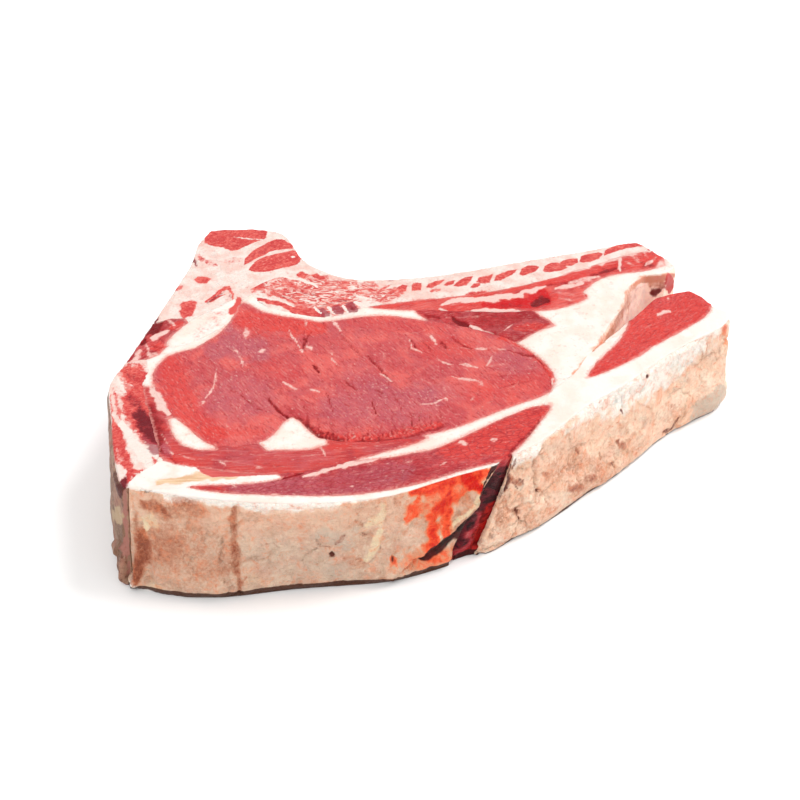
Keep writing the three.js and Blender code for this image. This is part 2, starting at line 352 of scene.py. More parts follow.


# %% [markdown]
# ### The eye
# The big muscle is salmon red, brighter along its left edge and its right tip, with mauve patches of
# painted sheen where its wet surface reflects the light. Short pale flecks of fat and fine dark
# creases slant across it, and its lower edge is frayed where the fibres end, with painted shade
# along the step there.

# %% Marks on the eye
EYE_FLECKS = (
    (1, 2.6, 217, 369, 216, 380, 212, 390, 206, 399), (1, 4.5, 203, 404, 205, 402),
    (0.9, 2.6, 237, 353, 241, 360, 244, 369), (1, 4.5, 236, 352, 237, 353), (0.5, 2, 247, 378, 248, 382),
    (0.9, 7, 246, 330, 246, 338), (0.9, 3.6, 259, 353, 266, 350), (0.6, 3, 225, 327, 232, 332),
    (1, 2.4, 288, 331, 294, 340, 300, 349), (1, 4.5, 301, 352, 303, 353), (0.9, 5, 308, 347, 311, 351),
    (0.7, 3, 331, 353, 332, 358), (1, 3.6, 332, 360, 337, 368), (0.8, 3, 305, 322, 306, 328),
    (1, 2.8, 283, 384, 290, 388, 298, 391), (1, 3, 310, 392, 316, 393, 320, 395),
    (1, 3.6, 380, 376, 391, 383), (1, 3.6, 333, 321, 341, 332), (0.6, 3.2, 384, 355, 385, 360),
    (0.7, 4, 225, 424, 227, 427), (0.7, 4, 231, 379, 233, 381), (0.6, 4, 230, 363, 232, 364),
    (1, 3.6, 430, 337, 436, 346), (0.9, 2.2, 410, 342, 412, 350, 417, 352, 423, 355),
    (0.9, 2.6, 437, 360, 444, 364, 452, 366), (0.9, 3, 460, 365, 468, 366, 477, 369),
    (1, 3, 451, 378, 462, 380, 478, 382), (0.8, 5, 480, 384, 482, 385), (0.9, 3.6, 492, 357, 487, 367),
    (0.7, 2, 486, 368, 496, 366, 507, 365), (0.9, 2.6, 474, 350, 487, 350), (0.8, 2.4, 496, 350, 506, 350),
    (0.6, 1.8, 460, 349, 470, 350), (0.9, 2.6, 420, 406, 434, 405, 441, 402, 446, 399),
    (0.8, 4, 446, 400, 448, 402), (0.7, 4, 445, 390, 446, 391), (0.6, 2.6, 471, 402, 474, 397),
    (0.5, 2, 485, 405, 492, 402), (1.3, 3, 552, 378, 554, 388), (0.5, 1.4, 392, 335, 418, 334, 433, 329),
    (0.6, 2, 507, 388, 513, 387, 519, 381), (0.5, 2, 530, 363, 538, 360), (0.5, 3, 529, 369, 532, 370),
    (0.6, 2.4, 393, 412, 398, 410), (0.5, 1.6, 372, 388, 380, 389), (0.5, 2, 404, 370, 410, 376),
)
brush("pale", "rib_eye", EYE_FLECKS)
EYE_CREASES = (
    (0.7, 2.4, 240, 395, 247, 402, 255, 408, 262, 411), (0.5, 2, 234, 417, 240, 421, 246, 426),
    (0.6, 2.4, 262, 392, 269, 400), (1, 4, 269, 400, 280, 413, 290, 419, 302, 428, 316, 436, 330, 443),
    (0.9, 4, 304, 338, 304, 350), (0.7, 2, 311, 333, 306, 342), (1, 4, 314, 366, 319, 374),
    (0.7, 1.8, 340, 335, 350, 346, 361, 358), (0.9, 2.4, 368, 358, 377, 368, 385, 377, 392, 384),
    (0.8, 2, 345, 383, 350, 388, 357, 392), (0.5, 1.8, 343, 388, 348, 396, 354, 404),
    (0.8, 2.4, 327, 395, 330, 405, 332, 413), (0.9, 2.6, 371, 402, 374, 410, 378, 418),
    (0.7, 2, 376, 391, 384, 395), (0.5, 2, 300, 400, 305, 408, 309, 414), (0.9, 3, 412, 342, 417, 350),
    (0.7, 2, 420, 341, 426, 346, 432, 353), (0.8, 2.4, 452, 338, 462, 346, 471, 350),
    (0.5, 2, 471, 350, 500, 351), (0.8, 4.5, 441, 342, 446, 349),
    (0.7, 2, 507, 350, 520, 354, 535, 357, 547, 366), (0.7, 2.4, 392, 395, 398, 403, 402, 412),
    (0.6, 2, 385, 380, 390, 388), (0.5, 2, 484, 374, 500, 376, 520, 376),
    (0.6, 2, 500, 388, 512, 384, 530, 381), (0.5, 2, 453, 392, 470, 398),
    (0.4, 3, 495, 364, 505, 362, 520, 364), (0.5, 2, 420, 372, 430, 380, 438, 385),
    (0.4, 2, 388, 366, 394, 372), (0.5, 2, 270, 345, 275, 352), (0.5, 1.8, 254, 362, 262, 366),
    (0.5, 2, 205, 360, 211, 358), (0.6, 2.4, 320, 322, 326, 328),
)
brush("dark", "rib_eye", EYE_CREASES)
EYE_BRIGHT = (
    (0.7, 40, 172, 365, 178, 395, 192, 424, 214, 436), (0.8, 24, 240, 322, 262, 322, 320, 330),
    (0.5, 34, 470, 395, 520, 388, 546, 380), (0.5, 12, 205, 432, 262, 432), (0.4, 30, 262, 372, 300, 372),
    (0.5, 26, 420, 350, 470, 350), (0.4, 20, 350, 322, 440, 328), (0.8, 5, 306, 430, 322, 440, 345, 446),
    (1.5, 4, 500, 339, 510, 341, 522, 347, 537, 358, 548, 370, 555, 380, 557, 390),
)
brush("red", "rib_eye", EYE_BRIGHT)
# Painted sheen: mauve patches that stand for light reflected by the wet eye.
EYE_SHEEN = (
    (0.9, 30, 214, 352, 236, 345, 262, 352), (0.7, 14, 222, 326, 230, 328), (0.7, 52, 215, 400, 262, 398),
    (0.7, 46, 330, 408, 380, 406, 430, 404), (0.6, 36, 500, 360, 525, 364), (0.4, 30, 420, 385, 465, 395),
    (0.4, 30, 350, 370, 380, 385),
)
brush("dusk", "rib_eye", EYE_SHEEN)
FRAY_X, FRAY_Y = (302, 330, 390, 447), (430, 445, 439, 424)
THREAD, GAP = 1.9, 1.2
frayed = np.random.default_rng(7)
for across in np.arange(FRAY_X[0], FRAY_X[-1], THREAD):
    foot = np.interp(across, FRAY_X, FRAY_Y)
    tall = frayed.uniform(2, 14)
    slant = -0.35 * tall + frayed.uniform(-1.5, 1.5)
    line = across, foot, across + slant, foot - tall
    beside = across + GAP, foot - 1, across + slant + GAP, foot - 0.8 * tall
    brush("dark", "rib_eye", [(frayed.uniform(0.2, 0.75), frayed.uniform(1.2, 2.0), *line)])
    brush("pale", "rib_eye", [(frayed.uniform(0.0, 0.6), 1.5, *beside)])
# Dark red along the frayed lower edge and the seam above it: frayed fibres, and painted shade along the step.
EYE_FRAY_AND_SHADE = (
    (0.7, 4, 300, 430, 318, 440, 345, 445, 390, 441, 420, 434, 447, 426), (0.5, 10, 288, 418, 316, 436),
    (0.55, 9, 286, 408, 302, 422, 320, 435, 345, 441), (0.5, 2.4, 305, 408, 309, 430),
    (0.5, 2.4, 316, 414, 321, 436), (0.5, 2.4, 330, 420, 334, 440), (0.5, 2, 346, 424, 348, 441),
    (0.45, 2, 361, 426, 363, 440), (0.45, 2, 376, 420, 379, 440), (0.5, 2, 391, 416, 393, 438),
    (0.6, 2.4, 504, 336, 524, 346, 539, 360, 549, 376, 552, 390),
)
brush("dark", "rib_eye", EYE_FRAY_AND_SHADE)
EYE_FRAY_RED = ((0.9, 10, 298, 426, 330, 440, 380, 439, 440, 425),)
brush("red", "rib_eye", EYE_FRAY_RED)
print("the eye has", int((brushed["rib_eye"]["pale"] > 0.4).sum()), "pale points")

# %% [markdown]
# ### Cap, strips and tail
# The thinner muscles around the eye are cut nearly along their fibres. The cap is a dusty red with
# fine pale threads, the outer strip goes from plum on the left to bright red on the right, and the
# tail beside the notch is the brightest of all.

# %% Marks on the thin muscles
THIN_FLECKS = (
    (0.6, 1.6, 198, 459, 230, 462, 262, 467), (1, 2.6, 220, 462, 225, 466), (0.7, 2, 255, 468, 264, 468),
    (1, 3.4, 308, 437, 318, 444, 323, 451, 325, 456), (0.8, 2.2, 303, 433, 312, 437),
    (0.6, 1.8, 300, 457, 320, 456), (0.8, 2.2, 161, 433, 166, 441, 171, 448), (0.9, 3, 168, 451, 173, 455),
    (0.6, 2, 178, 455, 196, 460), (0.4, 1.4, 240, 455, 290, 457), (0.4, 1.4, 215, 470, 260, 474),
    (0.5, 1.6, 335, 450, 370, 448, 395, 444), (0.4, 3, 284, 452, 288, 453), (0.3, 2, 302, 462, 345, 459),
    (1.2, 3.4, 272, 494, 278, 495, 283, 498), (0.9, 4, 350, 487, 354, 486), (0.9, 3.4, 441, 466, 447, 463),
    (1, 5, 460, 443, 467, 445), (1, 5, 490, 441, 496, 440), (0.6, 3, 405, 463, 412, 461),
    (0.6, 3.4, 495, 453, 501, 455), (1, 2.6, 231, 483, 236, 487), (0.9, 3, 210, 483, 214, 482),
    (0.5, 2, 368, 466, 380, 462), (0.5, 2, 480, 455, 486, 457), (0.4, 2, 330, 490, 344, 489),
    (1.1, 4, 658, 313, 664, 311, 670, 311), (0.8, 3, 668, 297, 669, 298), (0.5, 2, 645, 327, 651, 324),
    (0.6, 3, 696, 321, 699, 322), (0.4, 2, 625, 352, 632, 346), (0.4, 2.4, 680, 310, 688, 308),
)
brush("pale", "rib_cap outer_strip tail_strip", THIN_FLECKS)
# One stroke, from (540, 421) to (508, 455), is painted shade along the right rim of the outer strip.
THIN_CREASES = (
    (0.8, 4, 199, 466, 206, 472, 216, 475, 240, 479), (1, 3, 277, 480, 290, 477, 304, 473),
    (0.6, 5, 160, 452, 150, 437), (0.7, 2, 406, 470, 413, 474, 420, 475),
    (0.4, 12, 320, 486, 350, 482, 400, 473), (0.8, 4, 540, 421, 530, 433, 518, 443, 508, 455),
    (0.4, 2, 280, 487, 310, 488), (0.4, 2, 430, 455, 436, 461), (0.5, 2, 650, 332, 656, 328),
    (0.5, 2, 665, 335, 672, 330), (0.4, 2, 690, 302, 700, 306), (0.5, 2, 640, 343, 648, 340),
    (0.6, 3, 155, 440, 162, 452, 176, 462), (0.5, 3, 312, 441, 320, 449),
)
brush("dark", "rib_cap outer_strip tail_strip", THIN_CREASES)
STRIP_DUSKY = ((0.8, 30, 235, 489, 330, 489, 405, 470),)
brush("dusk", "outer_strip", STRIP_DUSKY)
STRIP_SEAM = (
    (1.3, 3.4, 303, 478, 318, 474, 332, 470, 346, 467), (1.5, 6, 338, 468, 354, 464, 370, 461, 384, 456),
)
brush("pale", "rib_cap outer_strip", STRIP_SEAM)
CAP_LOWER_EDGE = (
    (1.3, 1.2, 192, 460, 240, 464, 300, 470, 300, 474, 264, 475.5, 232, 477, 212, 477, 203, 474, 197, 468),
)
patch("red", "backstrap left_seam", CAP_LOWER_EDGE)
CAP_DUSKY = ((0.4, 22, 215, 456, 330, 456),)
brush("dusk", "rib_cap", CAP_DUSKY)
STRIP_BRIGHT = ((0.9, 40, 450, 448, 500, 440, 540, 415), (0.5, 10, 180, 487, 222, 490))
brush("red", "outer_strip", STRIP_BRIGHT)
CAP_BRIGHT = ((0.6, 12, 160, 456, 185, 462, 205, 470), (0.5, 12, 330, 448, 405, 440))
brush("red", "rib_cap", CAP_BRIGHT)
TAIL_BRIGHT = ((0.8, 60, 590, 375, 700, 300),)
brush("red", "tail_strip", TAIL_BRIGHT)
print("thin muscles marked")

# %% [markdown]
# ### Rib meat and the wedge
# Between the rib and the eye the saw has bared bands of red meat with white between them, a wet
# patch of bright blood with a hole, and a wine-dark wedge whose tip fades into fat. The hole and
# the shadowed lines between the bands get painted shade in deep red.

# %% Marks beside the rib
RIB_MEAT_WHITE = (
    (1.5, 6, 442, 305, 456, 302, 470, 301, 488, 300, 505, 298, 522, 296),
    (1.3, 5, 515, 296, 532, 291, 545, 288), (0.6, 3, 556, 293, 575, 295), (0.6, 3, 560, 299, 575, 301),
    (1.2, 4, 555, 290, 568, 287, 582, 284),
    (1.5, 4.5, 441, 310, 450, 314, 462, 315, 478, 312, 495, 311, 512, 311, 526, 313),
    (1, 4, 570, 283, 600, 277), (0.8, 4, 628, 254, 636, 258, 640, 262), (0.7, 3.4, 643, 252, 648, 258),
    (0.6, 3.4, 626, 262, 634, 265), (0.6, 3.4, 656, 258, 651, 263), (1.6, 3.6, 619, 257, 620, 271),
    (0.6, 3, 633, 252, 641, 255), (1.5, 10, 658, 270, 668, 263, 676, 266), (1, 3, 646, 265, 652, 261),
    (1.6, 7, 560, 275, 580, 268, 600, 261, 620, 254, 640, 248, 650, 250),
)
brush("pale", "rib_meat", RIB_MEAT_WHITE)
# Deep red in the hole and along the shadowed lines between the bands: painted shade.
RIB_MEAT_HOLE_SHADE = (
    (1.1, 8, 533, 304, 541, 301, 547, 300), (0.5, 5, 500, 305, 520, 306),
    (0.6, 3, 545, 286, 562, 284, 580, 280), (0.8, 4, 592, 275, 606, 271, 616, 268),
    (0.5, 4, 640, 268, 655, 265), (0.5, 3, 567, 290, 576, 288), (0.5, 3, 600, 268, 616, 264),
    (0.6, 3, 640, 262, 650, 266),
)
brush("dark", "rib_meat", RIB_MEAT_HOLE_SHADE)
RIB_MEAT_BLOOD = (
    (1.6, 9, 484, 306, 505, 304, 528, 304, 548, 302), (1.5, 14, 532, 296, 546, 296),
    (0.7, 7, 548, 284, 580, 279),
)
brush("rust", "rib_meat", RIB_MEAT_BLOOD)
RIB_MEAT_RED = (
    (1.5, 13, 450, 311, 486, 306, 520, 302, 550, 298), (0.9, 12, 520, 288, 560, 280, 616, 265),
    (1, 14, 626, 264, 645, 258, 656, 260), (1.2, 10, 530, 294, 545, 296, 556, 298),
)
brush("red", "rib_meat", RIB_MEAT_RED)
WEDGE_DARK = (
    (0.6, 18, 476, 318, 500, 322, 518, 319), (1.2, 5, 451, 318, 458, 322, 468, 327),
    (0.8, 4, 425, 316, 440, 318),
)
brush("dark", "wedge_meat rib_seam", WEDGE_DARK)
WEDGE_TIP = ((0.8, 8, 515, 328, 545, 325),)
brush("red", "wedge_meat", WEDGE_TIP)
WEDGE_FLECKS = (
    (1, 2, 504, 331, 513, 325), (1.3, 3.6, 470, 327, 482, 332, 496, 337), (0.8, 8, 548, 327, 558, 328),
    (0.5, 2, 460, 318, 480, 317),
)
brush("pale", "wedge_meat", WEDGE_FLECKS)
RED_IN_FAT = (
    (1.2, 5, 421, 314, 432, 315, 444, 319), (1.1, 4, 560, 296, 574, 297, 587, 296),
    (1, 3, 545, 304, 567, 303), (1.1, 5, 560, 291, 570, 290, 578, 288), (1, 3, 548, 299, 560, 297),
)
brush("red", "rib_bone rib_seam seam_fat", RED_IN_FAT)
NOTCH_SKIN = (
    (0.9, 7, 636, 284, 628, 292, 626, 304, 618, 320, 608, 334, 596, 348, 586, 362, 576, 374),
    (1.4, 6, 634, 284, 650, 279, 664, 276, 674, 275), (0.9, 12, 652, 284, 660, 285, 664, 285),
    (1.1, 4, 600, 344, 588, 358, 580, 367, 572, 374), (0.6, 3, 606, 356, 594, 366, 584, 373),
    (0.9, 9, 640, 279, 652, 278, 664, 278),
)
brush("rust", "seam_fat", NOTCH_SKIN)
NOTCH_RED = ((1.3, 9, 669, 276, 671, 292), (0.4, 6, 655, 278, 664, 277))
brush("red", "seam_fat", NOTCH_RED)
# Painted shade in the pit at the back of the notch.
NOTCH_PIT_SHADE = ((1.4, 9, 651, 293, 658, 292), (0.5, 12, 655, 287, 664, 286))
brush("dark", "seam_fat", NOTCH_PIT_SHADE)
print("rib meat and wedge marked")

# %% [markdown]
# ### Sawn bone
# A saw shows bone as a pale hard rim around a red sponge of marrow. Along the rib the sponge shows
# as a row of red dashes. At the neck of the rib it is a fine mix of red and white waves, and the
# block of backbone has three red wedges set in white gristle.

# %% Marks on the bones
RIB_RED_LINES = (
    (1, 3, 502, 294, 512, 291, 524, 288, 540, 284), (0.9, 4, 430, 292, 440, 290),
    (0.5, 6, 400, 304, 430, 301), (0.9, 6, 366, 311, 380, 309, 400, 307), (0.7, 6, 450, 298, 456, 298),
    (1.2, 3, 647, 248, 653, 252, 659, 257), (1, 4, 380, 301, 388, 295, 398, 289),
    (0.9, 3, 374, 297, 382, 290, 390, 285),
)
brush("red", "rib_bone rib_meat", RIB_RED_LINES)
RIB_DASHES = (
    (1.4, 0.8, 398, 288, 402, 285.5, 407, 286, 406, 292, 399, 293),
    (1.2, 0.8, 411, 286, 415, 283, 422, 284, 421, 291, 412, 291.5),
    (1.4, 0.8, 426, 288, 429, 284.5, 435, 281.5, 444, 280.5, 440, 284.5, 432, 288),
    (1.2, 0.6, 443, 286, 448, 282, 455, 281, 453, 284.5, 446, 286.5),
    (1.4, 0.8, 453, 286, 459, 281.5, 465, 278, 473, 277.5, 470, 282.5, 466, 286, 458, 287),
    (1.4, 0.8, 476, 283, 479, 278.5, 486, 277, 493, 275.5, 491, 280, 489, 284, 481, 284),
    (1.1, 0.6, 470, 288, 474, 284.5, 481, 284.5, 478, 288, 473, 289),
    (1.4, 0.8, 494, 282, 496, 277, 503, 274.5, 510, 272, 517, 271, 513, 275.5, 506, 279, 500, 281.5),
    (1.4, 0.8, 519, 276, 522, 270, 528, 267, 534, 267, 539, 268.5, 536, 272.5, 529, 275, 523, 277),
    (1.4, 0.8, 543, 272.5, 545, 267, 551, 264, 558, 263.5, 567, 268.5, 560, 272, 551, 273),
    (1.4, 0.8, 559, 265.5, 563, 261, 570, 259.5, 577, 259, 578, 263, 572, 266, 564, 267),
    (1.4, 0.8, 579, 262, 581, 256.5, 590, 254, 598, 252.5, 603, 253.5, 599, 259, 590, 262.5, 583, 263.5),
    (1.5, 0.8, 603, 256, 606, 250, 616, 245.5, 626, 242, 634, 240, 641, 241, 645, 246, 640, 246.5, 628, 248,
     616, 251.5),
    (1.1, 0.8, 462, 296.5, 470, 293, 485, 291.5, 498, 293, 502, 296, 495, 298.5, 480, 298, 468, 299),
    (1.3, 0.8, 296, 275, 301, 272, 308, 275, 306, 279, 299, 278),
    (1.3, 0.8, 311, 276, 316, 274, 326, 278, 324, 281, 315, 279),
)
patch("red", "rib_bone rib_meat", RIB_DASHES)
RIB_SPONGE = (
    (0.9, 22, 252, 286, 290, 288, 330, 290, 372, 290), (0.9, 20, 300, 300, 330, 306, 352, 304),
    (0.7, 14, 372, 298, 400, 292),
)
brush("foam", "rib_bone", RIB_SPONGE)
RIB_HARD_RIM = (
    (1.5, 4, 246, 296, 258, 304, 274, 312, 292, 318), (1, 2, 254, 297, 268, 299, 282, 302, 294, 307),
    (1.2, 3, 280, 276, 292, 279, 304, 281, 318, 288), (0.8, 2, 300, 300, 312, 303, 322, 303),
)
brush("pale", "rib_bone", RIB_HARD_RIM)
RIB_SPONGE_RED = (
    (1.4, 5, 259, 300, 272, 302, 284, 306, 297, 312), (1.2, 3, 270, 293, 282, 298, 296, 304),
    (1.2, 12, 296, 311, 308, 314, 322, 316), (1, 12, 252, 284, 262, 288),
    (0.9, 5, 284, 283, 296, 287, 306, 292),
)
brush("red", "rib_bone", RIB_SPONGE_RED)
RIB_TEETH = (
    (1.6, 0.7, 317, 310, 323, 309, 330, 314, 329, 320, 323, 321),
    (1.6, 0.7, 331, 308, 338, 306, 344, 311, 343, 316, 334, 315),
    (1.6, 0.7, 345, 304, 352, 302, 358, 309, 358, 313, 348, 314),
)
patch("dusk", "rib_bone", RIB_TEETH)
RIB_CRACKS = (
    (0.8, 5, 348, 306, 354, 310), (0.5, 4, 334, 310, 340, 313), (0.6, 2, 270, 290, 280, 296, 290, 299),
    (0.5, 2, 300, 292, 315, 296), (0.6, 2, 375, 278, 392, 281, 402, 278),
    (0.5, 2.4, 322, 306, 336, 302, 350, 300),
)
brush("dark", "rib_bone", RIB_CRACKS)
TEETH_GAPS = (
    (1.5, 2.4, 314, 308, 321, 315), (1.5, 2.4, 328, 308, 333, 315), (1.5, 2.4, 342, 306, 347, 314),
    (1.3, 3, 354, 303, 366, 307), (1.2, 3, 356, 297, 372, 300),
)
brush("pale", "rib_bone", TEETH_GAPS)
SPINE_WEDGES = (
    (1.6, 1, 204, 243, 206, 236, 211, 231, 236, 229, 262, 227, 267, 232, 265, 239, 252, 244, 244, 248,
     238, 251, 231, 251.5, 222, 248, 214, 247),
    (1.5, 0.8, 245, 266, 245, 260, 251, 254, 258, 248.5, 268, 243, 277, 240, 284, 240.5, 293, 246,
     293, 249.5, 280, 250, 270, 252.5, 262, 257, 252, 262),
    (1.8, 0.8, 249, 270.5, 256, 262.5, 267, 257, 282, 253.5, 293, 251.5, 300, 252.5, 301, 258, 299, 264,
     290, 267, 277, 270, 264, 273, 254, 273),
    (1.4, 1, 194, 280, 198, 277, 206, 277, 211, 280, 206, 284, 198, 284),
)
patch("red", "chine_bone", SPINE_WEDGES)
SPINE_TINGE = ((0.6, 5, 198, 256, 206, 262, 216, 265), (0.4, 5, 226, 262, 242, 262))
brush("red", "chine_bone", SPINE_TINGE)
SPINE_DUSKY = ((0.5, 8, 250, 262, 262, 252, 276, 246),)
brush("dusk", "chine_bone", SPINE_DUSKY)
SPINE_GRISTLE = ((0.7, 2.4, 234, 238, 262, 240), (1.1, 4, 291, 258, 294, 258))
brush("pale", "chine_bone", SPINE_GRISTLE)
SPINE_LOOP = (
    (1.2, 3, 206, 302, 215, 296, 223, 290, 229, 289, 233, 295, 232, 300),
    (1, 2.4, 210, 302, 219, 297, 225, 295), (1.6, 15, 184, 312, 192, 306),
    (1.2, 6, 240, 300, 235, 308, 230, 314), (0.9, 5, 168, 290, 182, 287),
)
brush("red", "chine_bone bone_fat left_seam rib_bone chine_meat", SPINE_LOOP)
SPINE_LOOP_SHADE = ((0.7, 2.4, 207, 303, 216, 297, 224, 292), (0.6, 2, 229, 293, 231, 300))
brush("dark", "chine_bone bone_fat", SPINE_LOOP_SHADE)
RIM_BONE_RED = (
    (1.2, 24, 128, 372, 139, 378, 142, 390), (1.4, 32, 132, 398, 142, 416, 152, 436),
    (1.3, 10, 114, 424, 120, 443, 126, 458), (1.2, 9, 121, 462, 130, 467, 128, 480),
    (1.1, 6, 134, 476, 141, 479, 137, 486), (0.8, 4, 113, 388, 117, 408, 122, 424),
    (0.9, 4, 128, 470, 146, 473, 160, 470), (1, 6, 108, 395, 110, 415, 113, 440, 117, 462),
    (0.9, 4, 152, 458, 158, 466), (0.6, 8, 160, 425, 162, 440),
)
brush("red", "feather_bone", RIM_BONE_RED)
RIM_BONE_DARK = (
    (1.1, 20, 140, 412, 148, 428, 154, 438), (0.6, 12, 130, 396, 140, 404), (0.5, 6, 128, 374, 140, 380),
)
brush("dark", "feather_bone", RIM_BONE_DARK)
RIM_BONE_DUSKY = ((1.2, 18, 147, 436, 156, 446, 162, 452),)
brush("dusk", "feather_bone", RIM_BONE_DUSKY)
RIM_BONE_SPONGE = ((0.8, 30, 128, 378, 138, 400, 146, 425), (0.6, 14, 116, 430, 124, 460))
brush("foam", "feather_bone", RIM_BONE_SPONGE)
RIM_BONE_WHITE = (
    (1.2, 10, 122, 424, 132, 440, 140, 456), (1.2, 14, 138, 448, 148, 464), (0.9, 8, 118, 378, 124, 392),
    (0.8, 3, 107, 384, 109, 405, 112, 430),
)
brush("pale", "feather_bone", RIM_BONE_WHITE)
CAP_CORNER_WHITE = ((1.5, 9, 150, 382, 153, 392, 160, 403, 169, 414),)
brush("pale", "rib_cap rib_eye", CAP_CORNER_WHITE)
CAP_CORNER_DARK = ((0.8, 16, 150, 408, 155, 424, 160, 440),)
brush("dark", "rib_cap", CAP_CORNER_DARK)
CAP_CORNER_DUSKY = ((0.9, 14, 160, 446, 168, 454),)
brush("dusk", "rib_cap", CAP_CORNER_DUSKY)
RIM_MEAT_WHITE = (
    (1.2, 6, 152, 340, 160, 335, 168, 331), (1, 7, 148, 354, 158, 357, 172, 352), (1, 6, 142, 351, 132, 362),
    (0.9, 4, 168, 320, 174, 326), (0.8, 3, 146, 344, 149, 352), (0.8, 7, 125, 368, 136, 362),
)
brush("pale", "chine_meat", RIM_MEAT_WHITE)
RIM_EDGE_DARK = (
    (1, 4, 141, 344, 150, 329, 157, 318), (0.9, 4, 192, 258, 196, 266), (0.5, 3, 176, 284, 168, 297),
    (0.5, 3, 128, 362, 136, 350),
)
brush("dark", "chine_bone bone_fat chine_meat", RIM_EDGE_DARK)
RIM_MEAT_DARK = ((1.2, 12, 152, 330, 160, 322), (0.6, 4, 150, 345, 160, 348), (0.8, 4, 140, 345, 146, 340))
brush("dark", "chine_meat", RIM_MEAT_DARK)
RIM_MEAT_RED = ((1, 9, 152, 347, 163, 347), (0.9, 9, 172, 328, 181, 324))
brush("red", "chine_meat", RIM_MEAT_RED)
print("bones marked")

# %% [markdown]
# ### The skin side
# The outer fat is creamy white where the knife has trimmed its edge, and turns to skin lower down:
# beige, pink and grey patches with small veins, an orange-brown band where a string was tied, and
# a bright orange-red stain on the flap beside the torn cleft.

# %% Marks on the skin side
SKIN = "left_fat right_fat"
SKIN_TRIMMED = (
    (1.2, 15, 134, 486, 165, 488, 200, 493, 230, 499, 262, 503, 300, 503, 340, 500, 384, 492),
    (1.1, 14, 168, 497, 225, 502, 300, 506), (1.1, 8, 340, 500, 380, 492, 420, 481, 460, 469, 492, 464),
    (1.2, 26, 512, 460, 540, 432, 570, 405), (1.1, 46, 560, 410, 610, 390, 650, 366, 700, 333, 720, 320),
    (0.6, 14, 250, 508, 330, 508), (0.3, 40, 610, 405, 660, 385), (0.25, 16, 462, 500, 456, 512, 450, 524),
    (0.45, 20, 408, 528, 416, 545), (0.5, 30, 560, 425, 640, 392), (1.4, 9, 134, 576, 140, 584),
    (0.5, 20, 640, 390, 700, 350),
)
brush("pale", SKIN, SKIN_TRIMMED)
SKIN_RUST = (
    (1.2, 14, 142, 503, 152, 507, 163, 508), (0.9, 20, 168, 512, 182, 504, 200, 512),
    (0.6, 40, 150, 530, 175, 545), (1.5, 14, 142, 534, 143, 552, 139, 574), (0.6, 60, 165, 545, 215, 560),
    (1.1, 8, 233, 510, 232, 530, 236, 560, 240, 586), (0.8, 7, 135, 515, 137, 545, 136, 572),
    (0.9, 5, 241, 580, 246, 572), (0.7, 10, 344, 558, 356, 561, 366, 560), (0.8, 5, 355, 521, 363, 528),
    (0.6, 6, 395, 497, 399, 508), (1, 7, 512, 478, 520, 484), (0.7, 6, 512, 511, 516, 512),
    (0.55, 50, 556, 474, 590, 470), (0.3, 20, 548, 440, 560, 452), (1, 9, 566, 487, 576, 485),
    (0.8, 7, 580, 478, 589, 474), (0.7, 6, 544, 474, 548, 476), (1.1, 8, 617, 441, 621, 446),
    (0.8, 6, 606, 462, 611, 462), (0.8, 3, 576, 448, 579, 453), (0.6, 3, 598, 452, 600, 459),
    (0.8, 5, 694, 336, 699, 338), (0.6, 3, 701, 347, 703, 361),
    (0.5, 4, 640, 403, 648, 408, 651, 417, 647, 425), (0.5, 14, 662, 418, 680, 410),
    (0.6, 2.6, 533, 458, 536, 470, 536, 486), (0.7, 5, 379, 575, 386, 576), (0.5, 6, 665, 404, 672, 404),
    (0.5, 20, 520, 525, 550, 508), (0.4, 30, 600, 470, 640, 440), (0.6, 16, 506, 500, 500, 530),
    (0.7, 14, 466, 496, 468, 508, 458, 520, 448, 530),
)
brush("rust", SKIN, SKIN_RUST)
SKIN_STAIN = (
    (1.3, 15, 416, 493, 430, 487, 445, 482, 462, 477, 480, 473, 492, 470), (1.7, 18, 466, 478, 478, 488),
    (1.1, 12, 419, 500, 414, 514, 408, 520), (1.3, 11, 444, 500, 436, 514, 431, 532, 434, 545),
    (1.2, 10, 449, 492, 447, 512, 443, 536), (1, 12, 424, 546, 436, 546), (0.7, 26, 432, 498, 462, 490),
    (0.45, 20, 408, 558, 425, 556, 442, 556), (0.9, 7, 391, 557, 395, 561),
    (0.5, 5, 723, 317, 727, 335, 728, 344), (0.7, 8, 452, 500, 462, 496), (0.6, 10, 425, 505, 428, 515),
)
brush("red", SKIN, SKIN_STAIN)
